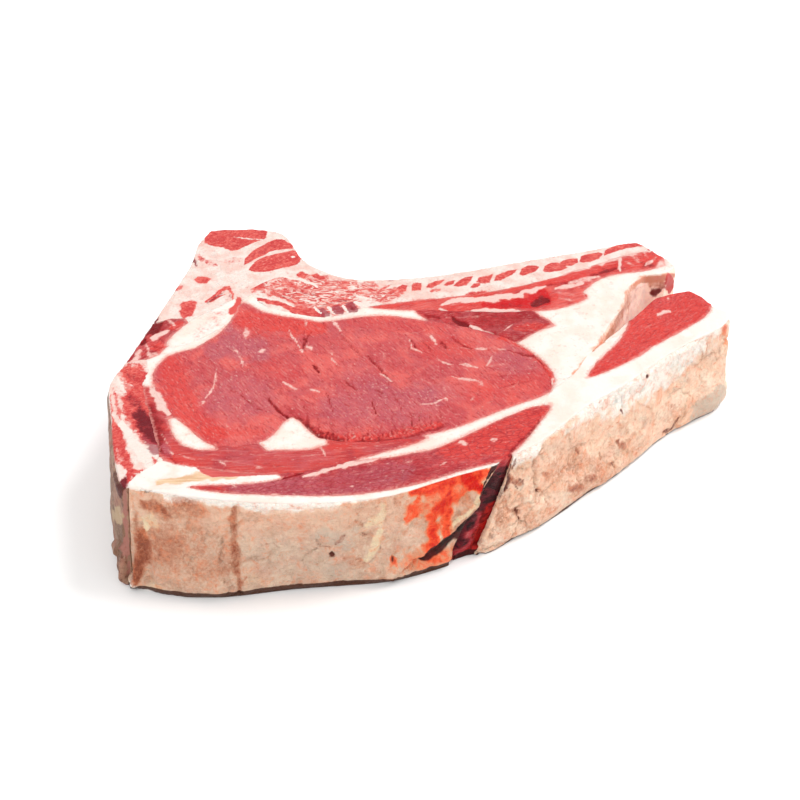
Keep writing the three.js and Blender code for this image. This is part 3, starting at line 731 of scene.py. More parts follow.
SKIN_VEINS = (
    (0.5, 4, 234, 510, 235, 520), (0.7, 5, 238, 546, 239, 556), (0.8, 6, 141, 545, 146, 544),
    (0.8, 6, 140, 566, 143, 556), (0.4, 4, 175, 511, 179, 508), (0.5, 3, 230, 560, 228, 580),
    (0.6, 4, 241, 576, 245, 584), (0.35, 1.6, 184, 520, 190, 530, 186, 545),
    (0.35, 1.6, 205, 512, 200, 525, 206, 540, 200, 556), (0.35, 1.6, 180, 560, 192, 566, 206, 564),
    (0.3, 1.6, 262, 520, 274, 526, 290, 524), (0.8, 5, 335, 544, 341, 538, 346, 534),
    (0.8, 1.8, 316, 541, 318, 546, 322, 549, 330, 549), (0.6, 1.8, 302, 562, 308, 555, 316, 550),
    (2, 4, 330, 554, 332, 555), (0.7, 1.8, 260, 547, 272, 544, 280, 549), (1.4, 3, 391, 556, 393, 560),
    (0.5, 1.4, 312, 515, 327, 514), (1, 3.4, 362, 536, 367, 538), (0.9, 3, 361, 523, 363, 528),
    (1.1, 2.6, 516, 459, 513, 470), (1.3, 4, 511, 475, 509, 484, 507, 492), (1.1, 3, 514, 482, 518, 489),
    (0.9, 3, 509, 466, 507, 474), (1, 4, 520, 478, 523, 484), (1.3, 3, 516, 509, 516, 514, 519, 519),
    (1, 3, 537, 491, 538, 493), (0.5, 1.6, 520, 515, 518, 506, 524, 498, 533, 492, 541, 490, 545, 497),
    (0.5, 1.6, 545, 497, 543, 508, 538, 519, 533, 524), (1.2, 4, 609, 462, 612, 465),
    (0.8, 3, 615, 443, 618, 438), (0.7, 2.6, 577, 450, 579, 453), (0.6, 2, 598, 454, 599, 459),
    (1.2, 3, 619, 409, 621, 413), (2, 4, 645, 376, 646, 377), (0.6, 3, 697, 336, 698, 337),
    (0.7, 2, 702, 354, 703, 361), (0.7, 2.4, 546, 472, 547, 477), (0.6, 2, 569, 486, 574, 487),
    (0.6, 2, 583, 479, 588, 475), (1, 4, 663, 431, 670, 425, 677, 416),
    (0.4, 2, 640, 403, 648, 408, 651, 417), (0.9, 2, 380, 545, 381, 549),
)
brush("dark", SKIN, SKIN_VEINS)
SKIN_CREAM = (
    (1.4, 5, 145, 522, 147, 531), (0.8, 11, 141, 520, 150, 518, 156, 526),
    (0.9, 12, 384, 508, 380, 520, 368, 527), (1, 12, 380, 532, 374, 548, 366, 557),
    (0.7, 16, 150, 584, 162, 581), (0.4, 12, 665, 425, 685, 412), (0.5, 14, 250, 575, 262, 580),
    (0.5, 14, 520, 470, 528, 460),
)
brush("cream", SKIN, SKIN_CREAM)
SKIN_GREY = (
    (0.9, 20, 322, 535, 345, 540, 354, 532), (0.6, 70, 262, 555, 320, 556), (0.9, 12, 330, 520, 340, 512),
    (1.1, 11, 498, 497, 508, 488), (0.9, 8, 521, 482, 521, 488), (1.2, 18, 690, 416, 706, 402, 720, 388),
    (0.6, 10, 677, 382, 688, 378), (0.6, 10, 640, 412, 642, 425), (0.5, 26, 196, 540, 222, 560),
    (0.5, 26, 408, 530, 414, 540), (0.6, 8, 492, 535, 497, 528), (0.5, 24, 360, 570, 330, 575),
)
brush("grey", SKIN, SKIN_GREY)
# Plum red on the torn wall, deepening to painted shade in the recess behind the flap.
TEAR_PLUM_AND_SHADE = ((1.6, 26, 502, 474, 494, 488, 484, 501), (1.7, 22, 472, 506, 458, 524, 444, 548))
brush("plum_and_shade", "outer_strip", TEAR_PLUM_AND_SHADE)
TEAR_RED = ((1.8, 18, 494, 505, 486, 526, 476, 545, 466, 556),)
brush("rust", "outer_strip", TEAR_RED)
# Painted shade on the rim of the right fat beside the tear.
TEAR_RIM_SHADE = (
    (0.9, 4, 510, 464, 508, 482, 506, 492), (0.6, 5, 494, 527, 489, 536), (0.6, 9, 503, 492, 500, 500),
)
brush("plum_and_shade", "right_fat", TEAR_RIM_SHADE)
TEAR_SHEEN = ((0.6, 7, 478, 512, 472, 520), (0.5, 5, 462, 528, 458, 536))
brush("grey", "outer_strip", TEAR_SHEEN)
FOOT_TINGE = ((0.4, 10, 420, 556, 440, 553, 456, 549), (0.3, 12, 396, 566, 420, 562, 446, 559))
brush("red", "left_fat", FOOT_TINGE)
FLAP_LIP = ((1.2, 3, 493, 462, 485, 474, 479, 489, 475, 501, 465, 512, 449, 526, 435, 537, 421, 547),)
brush("cream", "left_fat", FLAP_LIP)
SKIN_RAISED = (
    (1.5, 24, 532, 504), (0.9, 12, 490, 468, 480, 484, 474, 500, 462, 512, 446, 527, 432, 538),
    (1.4, 9, 134, 577, 140, 583), (0.6, 6, 145, 522, 147, 531), (0.7, 5, 335, 544, 346, 534),
    (1.3, 14, 381, 512, 378, 535, 368, 556), (0.8, 20, 345, 528, 348, 540), (0.8, 60, 180, 562, 240, 562),
    (0.6, 16, 560, 488, 590, 476), (0.9, 12, 614, 440, 622, 446), (0.7, 16, 420, 556, 450, 550),
    (0.5, 30, 395, 570, 395, 535), (0.7, 20, 640, 415, 645, 400), (0.6, 14, 700, 402, 715, 392),
)
brush("lift", SKIN, SKIN_RAISED)
SKIN_SUNK = (
    (0.9, 7, 234, 508, 233, 535, 237, 560, 241, 590), (1.2, 4, 330, 554, 332, 555),
    (1, 4, 391, 556, 393, 560), (1, 4, 645, 376, 646, 377), (0.9, 4, 516, 508, 516, 514, 519, 519),
    (0.8, 4, 537, 491, 538, 493), (0.8, 5, 609, 462, 612, 465), (0.7, 2.4, 316, 541, 322, 549, 330, 549),
    (0.7, 2.4, 302, 562, 316, 550), (0.8, 5, 362, 536, 367, 538), (1, 6, 141, 545, 143, 558, 141, 570),
    (0.6, 4, 533, 458, 536, 470, 536, 486), (0.8, 5, 516, 460, 512, 472, 508, 482, 507, 492),
    (1.2, 6, 663, 431, 670, 425, 677, 416),
)
brush("sink", SKIN, SKIN_SUNK)
SINEW_STREAK = ((1.1, 7, 158, 483, 180, 480, 205, 477, 235, 477),)
brush("cream", "backstrap", SINEW_STREAK)
BONE_FAT_TINGE = (
    (0.35, 14, 196, 336, 210, 324, 226, 312), (0.3, 12, 150, 372, 160, 358), (0.3, 8, 178, 318, 196, 308),
)
brush("red", "bone_fat", BONE_FAT_TINGE)
END_DUSKY = ((1.3, 8, 126, 492, 127, 520, 129, 548, 132, 572),)
brush("dusk", "feather_bone", END_DUSKY)
END_KNOB = ((1.6, 12, 118, 546, 119, 550),)
brush("lift", "feather_bone", END_KNOB)
END_DARK = ((1.2, 9, 124, 478, 121, 496), (0.8, 4, 114, 470, 117, 486))
brush("dark", "feather_bone", END_DARK)
END_CREAM = ((0.9, 8, 117, 508, 119, 522),)
brush("cream", "feather_bone", END_CREAM)
print("skin marked")

# %% [markdown]
# ## Relief
# The cut face gets shallow hills, dents along the dark creases and a fine groove along the seams.
# The steak's own edges are rounded like soft fat, a little at the upper rim and a little more at
# the foot. Low down the near side sags into a slight belly, and its lowest strip is marked for a
# painted dark shade where the steak meets the floor.
# The sides get lumps, as skin over soft fat has. In the hidden walls between two pieces only the
# rim moves: it laps a hair over its neighbour, so no gap shows. A rounding is a pair of sizes, how
# far it reaches across the face and how far along the side. All sizes are in millimetres.

# %% Rims and their rounding
RIM = 0.4
RIM_REACH = 1.3
RIM_ROUND = 1.4
FOOT_ROUND = (2.0, 2.0)
UNDERCUT = (1.6, 1.6)
BELLY = (1.6, 3.0)
BELLY_ENDS = (-42.0, -70.0)
BELLY_LEVEL = (4, 9)
SEAM_LAP = 0.28
# Heights in millimetres of the painted shade along the near foot, where the steak meets the floor.
SHADED_FOOT = {"left_fat": 3.0, "outer_strip": 2.6, "right_fat": 0.8}


def level_rim(depth):
    """Draws a remeshed rim up to the level of its face. Depth is how far a point is from it."""
    return np.where(depth < RIM_REACH, np.maximum(0, depth - RIM) * RIM_REACH / (RIM_REACH - RIM), depth)


def nearside(out):
    """1 where a side faces the camera, 0 where it faces away."""
    return fade(-out[:, 1], 0.1, 0.8)


def round_corner(inward, depth, across, tall):
    """Moves points of a square edge onto an oval one. Both distances are from the edge."""
    first, second = np.clip(1 - inward / across, 0, 1), np.clip(1 - depth / tall, 0, 1)
    share = np.divide(np.maximum(first, second), np.hypot(first, second), out=np.ones_like(first),
                      where=np.hypot(first, second) > 1e-9)
    corner = (inward < across) & (depth < tall)
    return (np.where(corner, across * (1 - first * share), inward),
            np.where(corner, tall * (1 - second * share), depth))


def sag(points, out):
    """How far the near side bulges low down, in millimetres. It does so most at its left end."""
    least, most = BELLY
    level, reach = BELLY_LEVEL
    most = least + (most - least) * fade(points[:, 0], *BELLY_ENDS)
    return most * nearside(out) * np.exp(-(np.maximum(points[:, 2] - level, 0) / reach) ** 2)


def outer_wall(low, high):
    """A search tree of the steak's own side between two heights, with the way out at each point."""
    places, ways = [], []
    for node, piece in pieces.items():
        points, normals = rest[node], read_normals(piece) * [1, 1, 0]
        length = np.linalg.norm(normals, axis=1)
        wall = (outside_of[node] > 0.5) & (points[:, 2] > low) & (points[:, 2] < high) & (length > 0.8)
        places.append(points[wall] * [1, 1, 0])
        ways.append(normals[wall] / length[wall, None])
    places, ways = np.concatenate(places), np.concatenate(ways)
    tree = KDTree(len(places))
    for index, place in enumerate(places):
        tree.insert(place, index)
    tree.balance()
    return tree, ways


def from_wall(points, wall, reach):
    """How far each point lies inside the steak's own side, and the way out from there."""
    tree, ways = wall
    inward, out = np.full(len(points), FAR), np.zeros((len(points), 3))
    for index, point in enumerate(points * [1, 1, 0]):
        place, found, away = tree.find(point)
        if away < reach:
            out[index] = ways[found]
            inward[index] = -(point - np.array(place)) @ ways[found]
    return inward, out


foot_wall, rim_wall = outer_wall(4.0, 7.0), outer_wall(THICKNESS - 5.0, THICKNESS - 2.5)
print("wall points:", len(foot_wall[1]), len(rim_wall[1]))

# %% [markdown]
# The flap of fat beside the cleft hangs free, so its edge throws a shadow into the tear. Its edge
# is one more line read off the picture. Points past that line are pushed in, but no deeper than the
# fat is thick there, so that none comes out of its inner wall. The foot below them stays put.
# The skin itself is split into soft cushions, each with its own level and a crease around it.

# %% Lift, push and write
CUSHION = 13.0
TIER, FOLD = 0.4, 0.7
HILL_SHARES = (0.6, 0.4)
SIDE_LUMPS = ((0.8, 13, 5), (0.45, 5, 6), (0.18, 1.8, 7))
GROOVE, RIDGE, DENT, PROUD = 0.2, 0.12, 0.4, 0.05
RAISE, LOWER = 0.9, 0.8
FLAP_DEPTH, FLAP_WALL, FLAP_SWELL = 4.5, 0.4, 0.9


def cushions(points, size, seed):
    """Splits space into random cushions. Gives the way to the nearest border, and a level for each one."""
    cell = np.floor(points / size)
    first, second = np.full(len(points), np.inf), np.full(len(points), np.inf)
    level = np.zeros(len(points))
    for step in np.ndindex(3, 3, 3):
        corner = cell + np.array(step) - 1
        middle = corner + 0.5 + 0.45 * np.stack([corner_heights(corner, seed + axis) for axis in range(3)], 1)
        away = np.linalg.norm(points - middle * size, axis=1)
        second = np.minimum(second, np.maximum(first, away))
        level = np.where(away < first, corner_heights(corner, seed + 3), level)
        first = np.minimum(first, away)
    return second - first, level


FLAP_EDGE = np.array([
    (496, 462), (488, 475), (482, 490), (478, 503), (468, 515), (452, 530), (438, 541), (424, 551),
], float)


def past_flap(places):
    """How far each place lies to the right of the flap's edge, in pixels."""
    found, side = np.full(len(places), 1e6), np.zeros(len(places))
    for start, end in zip(FLAP_EDGE, FLAP_EDGE[1:]):
        along = end - start
        away = places - start
        share = np.clip(away @ along / (along @ along), 0, 1)
        near = np.linalg.norm(away - share[:, None] * along, axis=1)
        turn = along[1] * away[:, 0] - along[0] * away[:, 1]
        side = np.where(near < found, np.sign(turn), side)
        found = np.minimum(found, near)
    return found * side


def relief(node, hills, hill_size, rim_round):
    """Gives a piece its relief, and returns how far each of its points lies on a cut face, 0 to 1."""
    points, marks = rest[node].copy(), brushed[node]
    normals = read_normals(pieces[node])
    top = sheet_height(points)
    below, above = level_rim(top - points[:, 2]), level_rim(points[:, 2])
    upper = points[:, 2] > THICKNESS / 2
    depth = np.where(upper, below, above)
    rounded_foot, foot = np.zeros(len(points), bool), np.zeros(len(points))
    painted_shade = SHADED_FOOT.get(node, 0)
    for half, wall, small, large, reach in (
        (upper, rim_wall, (rim_round, rim_round), (rim_round, rim_round), rim_round),
        (~upper, foot_wall, FOOT_ROUND, UNDERCUT, max(painted_shade + 1, UNDERCUT[1])),
    ):
        chosen = np.flatnonzero(half & (depth < reach))
        inward, out = from_wall(points[chosen], wall, large[0] + 3)
        inward = np.maximum(inward, 0)
        across, tall = (low + (high - low) * nearside(out) for low, high in zip(small, large))
        rounded, depth[chosen] = round_corner(inward, depth[chosen], across, tall)
        shift = inward - rounded
        if wall is foot_wall:
            shift += sag(points[chosen], out) * fade(rounded, 4.5, 0.5)
            rounded_foot[chosen] = True
            height = rest[node][chosen, 2] + 0.4 * lumps(rest[node][chosen], 6, 31)
            # The foot mark is painted shade: a dark strip low on the near side.
            foot[chosen] = nearside(out) * fade(inward, 6, 4) * fade(height, painted_shade + 0.5, painted_shade - 0.3) * (painted_shade > 0)
        points[chosen] += out * shift[:, None]
    face = fade(depth, 1.0, 0.0)
    flat = points * [1, 1, 0]
    wide, narrow = HILL_SHARES
    rise = hills * (wide * lumps(flat, hill_size, 3) + narrow * lumps(flat, hill_size / 3, 4))
    rise -= GROOVE * np.exp(-((seam_of[node] - 0.3) / 0.5) ** 2)
    if NODES[node] != "skin_fat":
        rise += RIDGE * np.minimum(marks["pale"], 1) - DENT * np.minimum(marks["dark"], 1)
    if NODES[node] != "red_meat":
        rise += PROUD
    rise = np.where(upper, rise, np.maximum(rise - PROUD, 0)) * face
    points[:, 2] = np.where(upper, top - depth + rise, depth + rise)
    out = normals * [1, 1, 0]
    length = np.linalg.norm(out, axis=1, keepdims=True)
    out = np.divide(out, length, out=np.zeros_like(out), where=length > 0.3)
    bulge = sum(share * lumps(rest[node], size, seed) for share, size, seed in SIDE_LUMPS)
    bulge += marks["lift"] * RAISE - marks["sink"] * LOWER
    bulge += np.where(rounded_foot, 0, sag(points, out))
    if NODES[node] == "skin_fat":
        border, tier = cushions(rest[node] + 2.2 * wobble[node][:, [0, 1, 0]], CUSHION, 21)
        crease = np.exp(-(border / 1.1) ** 2) * fade(lumps(rest[node], 15, 22), -0.25, 0.35)
        bulge += TIER * tier - FOLD * crease
        marks["crease"] = crease * outside_of[node]
    if foot.any():
        marks["foot"] = foot
    if node == "left_fat":
        past = past_flap(picture[node])
        free = fade(points[:, 2], 3.5, 7.5) * outside_of[node]
        # The tear mark is painted shade: near-black red in the recess behind the flap.
        marks["tear"] = fade(past, -2.0, -0.8) * fade(past, 13, 6) * fade(points[:, 2], 4, 7.5) * takes[node]
        print("points behind the flap:", int((marks["tear"] > 0.5).sum()))
        push = np.clip(seam_of[node] - FLAP_WALL, 0, FLAP_DEPTH)
        bulge += FLAP_SWELL * np.exp(-((past + 2) / 3) ** 2) * free - push * fade(past, 0, 2.0) * free
    points += out * (bulge * outside_of[node] * (1 - face) * fade(depth, 0.3, 2.0))[:, None]
    points += out * (SEAM_LAP * (1 - outside_of[node]) * fade(depth, 1.2, 0.4))[:, None]
    write_points(pieces[node], points)
    return face


cut_of = {}
PLAIN = (0.12, 9.0, 0.7)
SURFACES = {"red_meat": (0.25, 6.0, 0.7), "cut_bone": (0.22, 3.5, 0.7), "skin_fat": (0.12, 9.0, RIM_ROUND)}
for node, slot in NODES.items():
    cut_of[node] = relief(node, *SURFACES.get(slot, PLAIN))
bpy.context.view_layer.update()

# %% [markdown]
# ## Finishes
# A finish is a small tree of nodes. Writing them one by one in Python takes many lines, so a helper
# class keeps the tree and gives each kind of node a short name. All patterns read Object
# coordinates, because every piece sits at the origin and they then run on from piece to piece.
# What was brushed on comes in through attributes, and is made ragged with noise on its way, because
# the mesh is too coarse for the finest frays. Flesh has no hard borders, so most kinds of mark are
# laid down twice: first a wide pale fringe, then a smaller core.

# %% A helper for finishes
EXPOSE = 0.72


def shade(red, green, blue):
    """A colour as a screen shows it, 0 to 255, in the linear numbers that a shader needs."""
    linear = []
    for value in (red, green, blue):
        part = value / 255
        linear.append(EXPOSE * (part / 12.92 if part <= 0.04045 else ((part + 0.055) / 1.055) ** 2.4))
    return linear + [1.0]


class Finish:
    """A material and short names for the nodes that meat needs."""

    def __init__(self, name):
        self.material = bpy.data.materials.new(name)
        self.material.use_nodes = True
        self.tree = self.material.node_tree
        self.surface = self.tree.nodes["Principled BSDF"]
        self.place = self.add("ShaderNodeTexCoord").outputs["Object"]
        axes = self.add("ShaderNodeSeparateXYZ")
        self.feed(axes.inputs[0], self.place)
        self.height = axes.outputs[2]
        self.ragged = self.centred(self.noise(1.1, 4, rough=0.7))
        self.wander = self.centred(self.noise(3.0, 4, warp=0.8, rough=0.6))

    def add(self, kind, **settings):
        made = self.tree.nodes.new(kind)
        for key, value in settings.items():
            setattr(made, key, value)
        return made

    def feed(self, socket, value):
        if isinstance(value, bpy.types.NodeSocket):
            self.tree.links.new(value, socket)
        else:
            socket.default_value = value

    def brushed(self, name):
        return self.add("ShaderNodeAttribute", attribute_name=name).outputs["Fac"]

    def sum(self, how, first, second=0.0, third=0.0):
        made = self.add("ShaderNodeMath", operation=how)
        for socket, value in zip(made.inputs, (first, second, third)):
            self.feed(socket, value)
        return made.outputs[0]

    def scaled(self, value, times, plus=0.0):
        return self.sum("MULTIPLY_ADD", value, times, plus)

    def centred(self, noise):
        """Moves noise from 0 and 1 to -0.5 and 0.5, so that it doesn't shift what it is added to."""
        return self.scaled(noise, 1.0, -0.5)

    def blend(self, *shares):
        """Adds up pairs of a value and its weight."""
        total = self.scaled(*shares[0])
        for value, times in shares[1:]:
            total = self.sum("MULTIPLY_ADD", value, times, total)
        return total

    def step(self, value, start, end, peak=1.0):
        """0 before start and peak past end, with a soft step between them."""
        made = self.add("ShaderNodeMapRange", interpolation_type="SMOOTHSTEP")
        for key, entry in (("Value", value), ("From Min", start), ("From Max", end), ("To Max", peak)):
            self.feed(made.inputs[key], entry)
        return made.outputs[0]

    def turned(self, turn, along, across=1.0):
        """Object coordinates for a pattern that is stretched along one direction of the cut face."""
        made = self.add("ShaderNodeMapping", vector_type="TEXTURE")
        self.feed(made.inputs["Vector"], self.place)
        made.inputs["Rotation"].default_value = (0, 0, math.radians(turn))
        made.inputs["Scale"].default_value = (along, across, 1)
        return made.outputs[0]

    def noise(self, size, detail=2.0, where=None, warp=0.0, rough=0.5):
        """Clouds between 0 and 1, with a size in millimetres."""
        made = self.add("ShaderNodeTexNoise")
        self.feed(made.inputs["Vector"], self.place if where is None else where)
        made.inputs["Scale"].default_value = 1 / (size * MM)
        made.inputs["Detail"].default_value = detail
        made.inputs["Roughness"].default_value = rough
        made.inputs["Distortion"].default_value = warp
        return made.outputs["Fac"]

    def cells(self, size, feature="F1", where=None):
        made = self.add("ShaderNodeTexVoronoi", feature=feature)
        self.feed(made.inputs["Vector"], self.place if where is None else where)
        made.inputs["Scale"].default_value = 1 / (size * MM)
        return made.outputs["Distance"]

    def mix(self, share, first, second):
        made = self.add("ShaderNodeMix", data_type="RGBA")
        self.feed(made.inputs[0], share)
        self.feed(made.inputs[6], first)
        self.feed(made.inputs[7], second)
        return made.outputs[2]

    def lay(self, colour, tint, value, start, end, peak=1.0):
        """Lays a tint over a colour where a value lies past a soft step."""
        return self.mix(self.step(value, start, end, peak), colour, tint)

    def mark(self, colour, kind, tint, start=0.3, end=0.7, peak=1.0, ragged=1.2,
             fringe=None, fringe_start=0.0):
        """Lays one kind of brushed mark over a colour: a ragged core, and around it maybe a fringe."""
        value = self.blend((self.brushed(kind), 1.0), (self.ragged, ragged), (self.wander, ragged))
        if fringe is not None:
            colour = self.lay(colour, fringe, value, fringe_start, end, peak)
        return self.lay(colour, tint, value, start, end, peak)

    def seam(self, colour, tint, reach, peak, ragged=2.4):
        """Lays a tint along the border between lean and fat."""
        value = self.blend((self.brushed("seam"), 1.0), (self.ragged, ragged))
        share = self.sum("MULTIPLY", self.step(value, reach, 0.25, peak), self.brushed("cut"))
        return self.mix(share, colour, tint)

    def bumps(self, height, depth):
        """Fine relief. Depth is in millimetres."""
        made = self.add("ShaderNodeBump")
        made.inputs["Distance"].default_value = depth * MM
        self.feed(made.inputs["Height"], height)
        self.tree.links.new(made.outputs[0], self.surface.inputs["Normal"])

    def finish(self, colour, rough, glow, glow_depth, shine=0.3, coat=0.0):
        self.feed(self.surface.inputs["Base Color"], colour)
        self.feed(self.surface.inputs["Roughness"], rough)
        self.surface.inputs["Subsurface Weight"].default_value = glow
        self.surface.inputs["Subsurface Radius"].default_value = (1.0, 0.4, 0.3)
        self.surface.inputs["Subsurface Scale"].default_value = glow_depth * MM
        self.surface.inputs["Specular IOR Level"].default_value = shine
        self.surface.inputs["Coat Weight"].default_value = coat
        self.surface.inputs["Coat Roughness"].default_value = 0.2
        return self.material


# %% [markdown]
# ## Lean
# Wet raw muscle is a red that lets some light in. It is never one colour: bright blood red, salmon
# and a dusty mauve lie in clouds, and on top of them the fibres show as short streaks along the way
# they run, so each muscle gets its own direction and length of streak. Tiny pale grains sit between
# them, partly specks of fat and partly painted glints of wet light, with more of them where the
# dusk mark lies, which on the eye is a painted sheen. Fat creeps a little way in at every seam,
# which is why the border to the fat is a ragged step on the distance to it.

# %% Lean
def lean_finish(name, turn, stretch, light, deep, fine=1.0, bundles=0.0):
    f = Finish(name)
    cloud, drift = f.noise(11, 4, warp=0.5, rough=0.55), f.noise(5, 3, f.turned(turn, 1.6))
    grain = f.noise(1.0, 5, f.turned(turn, stretch), warp=0.4, rough=0.65)
    threads = f.noise(0.6, 3, f.turned(turn, stretch * 2.0), rough=0.6)
    colour = f.lay(light, deep, cloud, 0.4, 0.6)
    colour = f.lay(colour, shade(206, 96, 100), drift, 0.46, 0.66, 0.5)
    bright = f.blend((f.brushed("red"), 1.0), (grain, 0.6))
    colour = f.lay(colour, shade(228, 66, 58), bright, 0.35, 1.3, 0.85)
    # The dusk mark is the cap's and outer strip's own dusky tone, and on the eye a painted sheen.
    dusk_and_sheen = f.blend((f.brushed("dusk"), 1.0), (grain, 0.8))
    colour = f.lay(colour, shade(186, 92, 106), dusk_and_sheen, 0.45, 1.5, 0.75)
    colour = f.lay(colour, shade(168, 40, 48), grain, 0.5, 0.32, 0.55 * fine)
    colour = f.lay(colour, shade(240, 150, 142), threads, 0.52, 0.7, 0.45 * fine)
    # Pale grains: partly specks of fat, partly painted glints, gathered a little where the dusk mark lies.
    speckle = f.noise(0.9, 4, f.turned(turn, 1.5), rough=0.75)
    grit = f.blend((speckle, 1.0), (f.brushed("dusk"), 0.045), (cloud, 0.1))
    colour = f.lay(colour, shade(246, 184, 174), grit, 0.65, 0.77, 0.75 * fine)
    if bundles:
        edges = f.cells(2.1, "DISTANCE_TO_EDGE", f.turned(turn, 1.5))
        between = f.blend((edges, 1.0), (f.ragged, 0.3))
        colour = f.lay(colour, shade(160, 30, 44), between, 0.12, 0.0, bundles)
    if name.startswith("rib_meat"):
        colour = f.mark(colour, "rust", shade(212, 14, 24), 0.4, 1.3, 0.9)
    colour = f.mark(colour, "dark", shade(124, 2, 12), 0.35, 1.2, 0.97, 0.9, shade(186, 28, 36), 0.05)
    colour = f.mark(colour, "pale", shade(251, 212, 202), 0.5, 1.25, 0.9, 1.2, shade(238, 158, 148), 0.1)
    colour = f.seam(colour, shade(240, 158, 148), 1.3, 0.7)
    if name.startswith("outer"):
        # Plum wall of the tear, darkening to painted shade in its recess.
        wall = f.blend((f.brushed("plum_and_shade"), 1.0), (f.noise(3, 3, f.turned(60, 2.0)), 0.6))
        strands, clots = f.noise(2.2, 4, f.turned(60, 2.0), warp=0.8), f.noise(2.6, 4, warp=0.6)
        plum_and_shade = f.lay(shade(32, 0, 8), shade(98, 16, 30), strands, 0.4, 0.62)
        colour = f.lay(colour, plum_and_shade, wall, 0.3, 1.0, 0.97)
        blood = f.lay(shade(118, 0, 2), shade(182, 24, 18), clots, 0.4, 0.62)
        colour = f.mark(colour, "rust", blood, 0.5, 1.1, 0.95)
        # Painted sheen on the torn wall.
        colour = f.mark(colour, "grey", shade(150, 104, 110), 0.4, 1.1, 0.8)
        # Painted shade along the near foot.
        colour = f.mark(colour, "foot", shade(70, 14, 14), 0.3, 0.8)
    f.bumps(f.blend((grain, 1.0), (threads, 0.5), (drift, 1.0)), 0.5)
    return f.finish(colour, f.blend((grain, 0.3), (threads, 0.2), (cloud, 0.1)), 0.12, 1.2, 0.12)


# %% [markdown]
# ## White fat
# Cut fat is smooth and nearly white, a touch warmer in clouds, and pink where it meets the lean.
# On the wall of the notch it is covered by a thin skin, pale cream and peach. That skin is written
# brighter than white, as painted light that lifts the wall out of its shade.

# %% White fat
def fat_finish(name):
    f = Finish(name)
    cloud, fine, drift = f.noise(8, 4), f.noise(0.9, 3), f.noise(3, 4, warp=0.5, rough=0.6)
    colour = f.lay(shade(254, 243, 234), shade(252, 230, 217), cloud, 0.38, 0.66)
    colour = f.lay(colour, shade(248, 206, 194), drift, 0.55, 0.75, 0.35)
    colour = f.seam(colour, shade(248, 204, 192), 2.0, 0.65)
    colour = f.seam(colour, shade(240, 156, 146), 0.9, 0.75)
    wall = f.step(f.blend((f.brushed("cut"), 1.0), (f.ragged, 0.4)), 0.75, 0.25)
    # The wall skin: painted light, its colour brighter than white so that the shaded wall looks lit.
    skin = f.lay(shade(300, 262, 238), shade(286, 248, 230), f.noise(4, 3, warp=0.5), 0.4, 0.6)
    colour = f.mix(wall, colour, skin)
    colour = f.mark(colour, "rust", shade(240, 160, 130), 0.4, 1.3, 0.95, 1.2, shade(250, 206, 180), 0.0)
    colour = f.mark(colour, "red", shade(220, 74, 68), 0.35, 0.95, 0.95, 1.2, shade(246, 168, 158), 0.05)
    colour = f.mark(colour, "dark", shade(122, 40, 36), 0.45, 1.3, 0.95, 1.2, shade(204, 124, 112), 0.05)
    colour = f.mark(colour, "grey", shade(214, 200, 192), 0.3, 0.8)
    f.bumps(f.blend((fine, 0.5), (cloud, 1.0)), 0.25)
    return f.finish(colour, f.scaled(fine, 0.2, 0.35), 0.2, 2.0, 0.25)
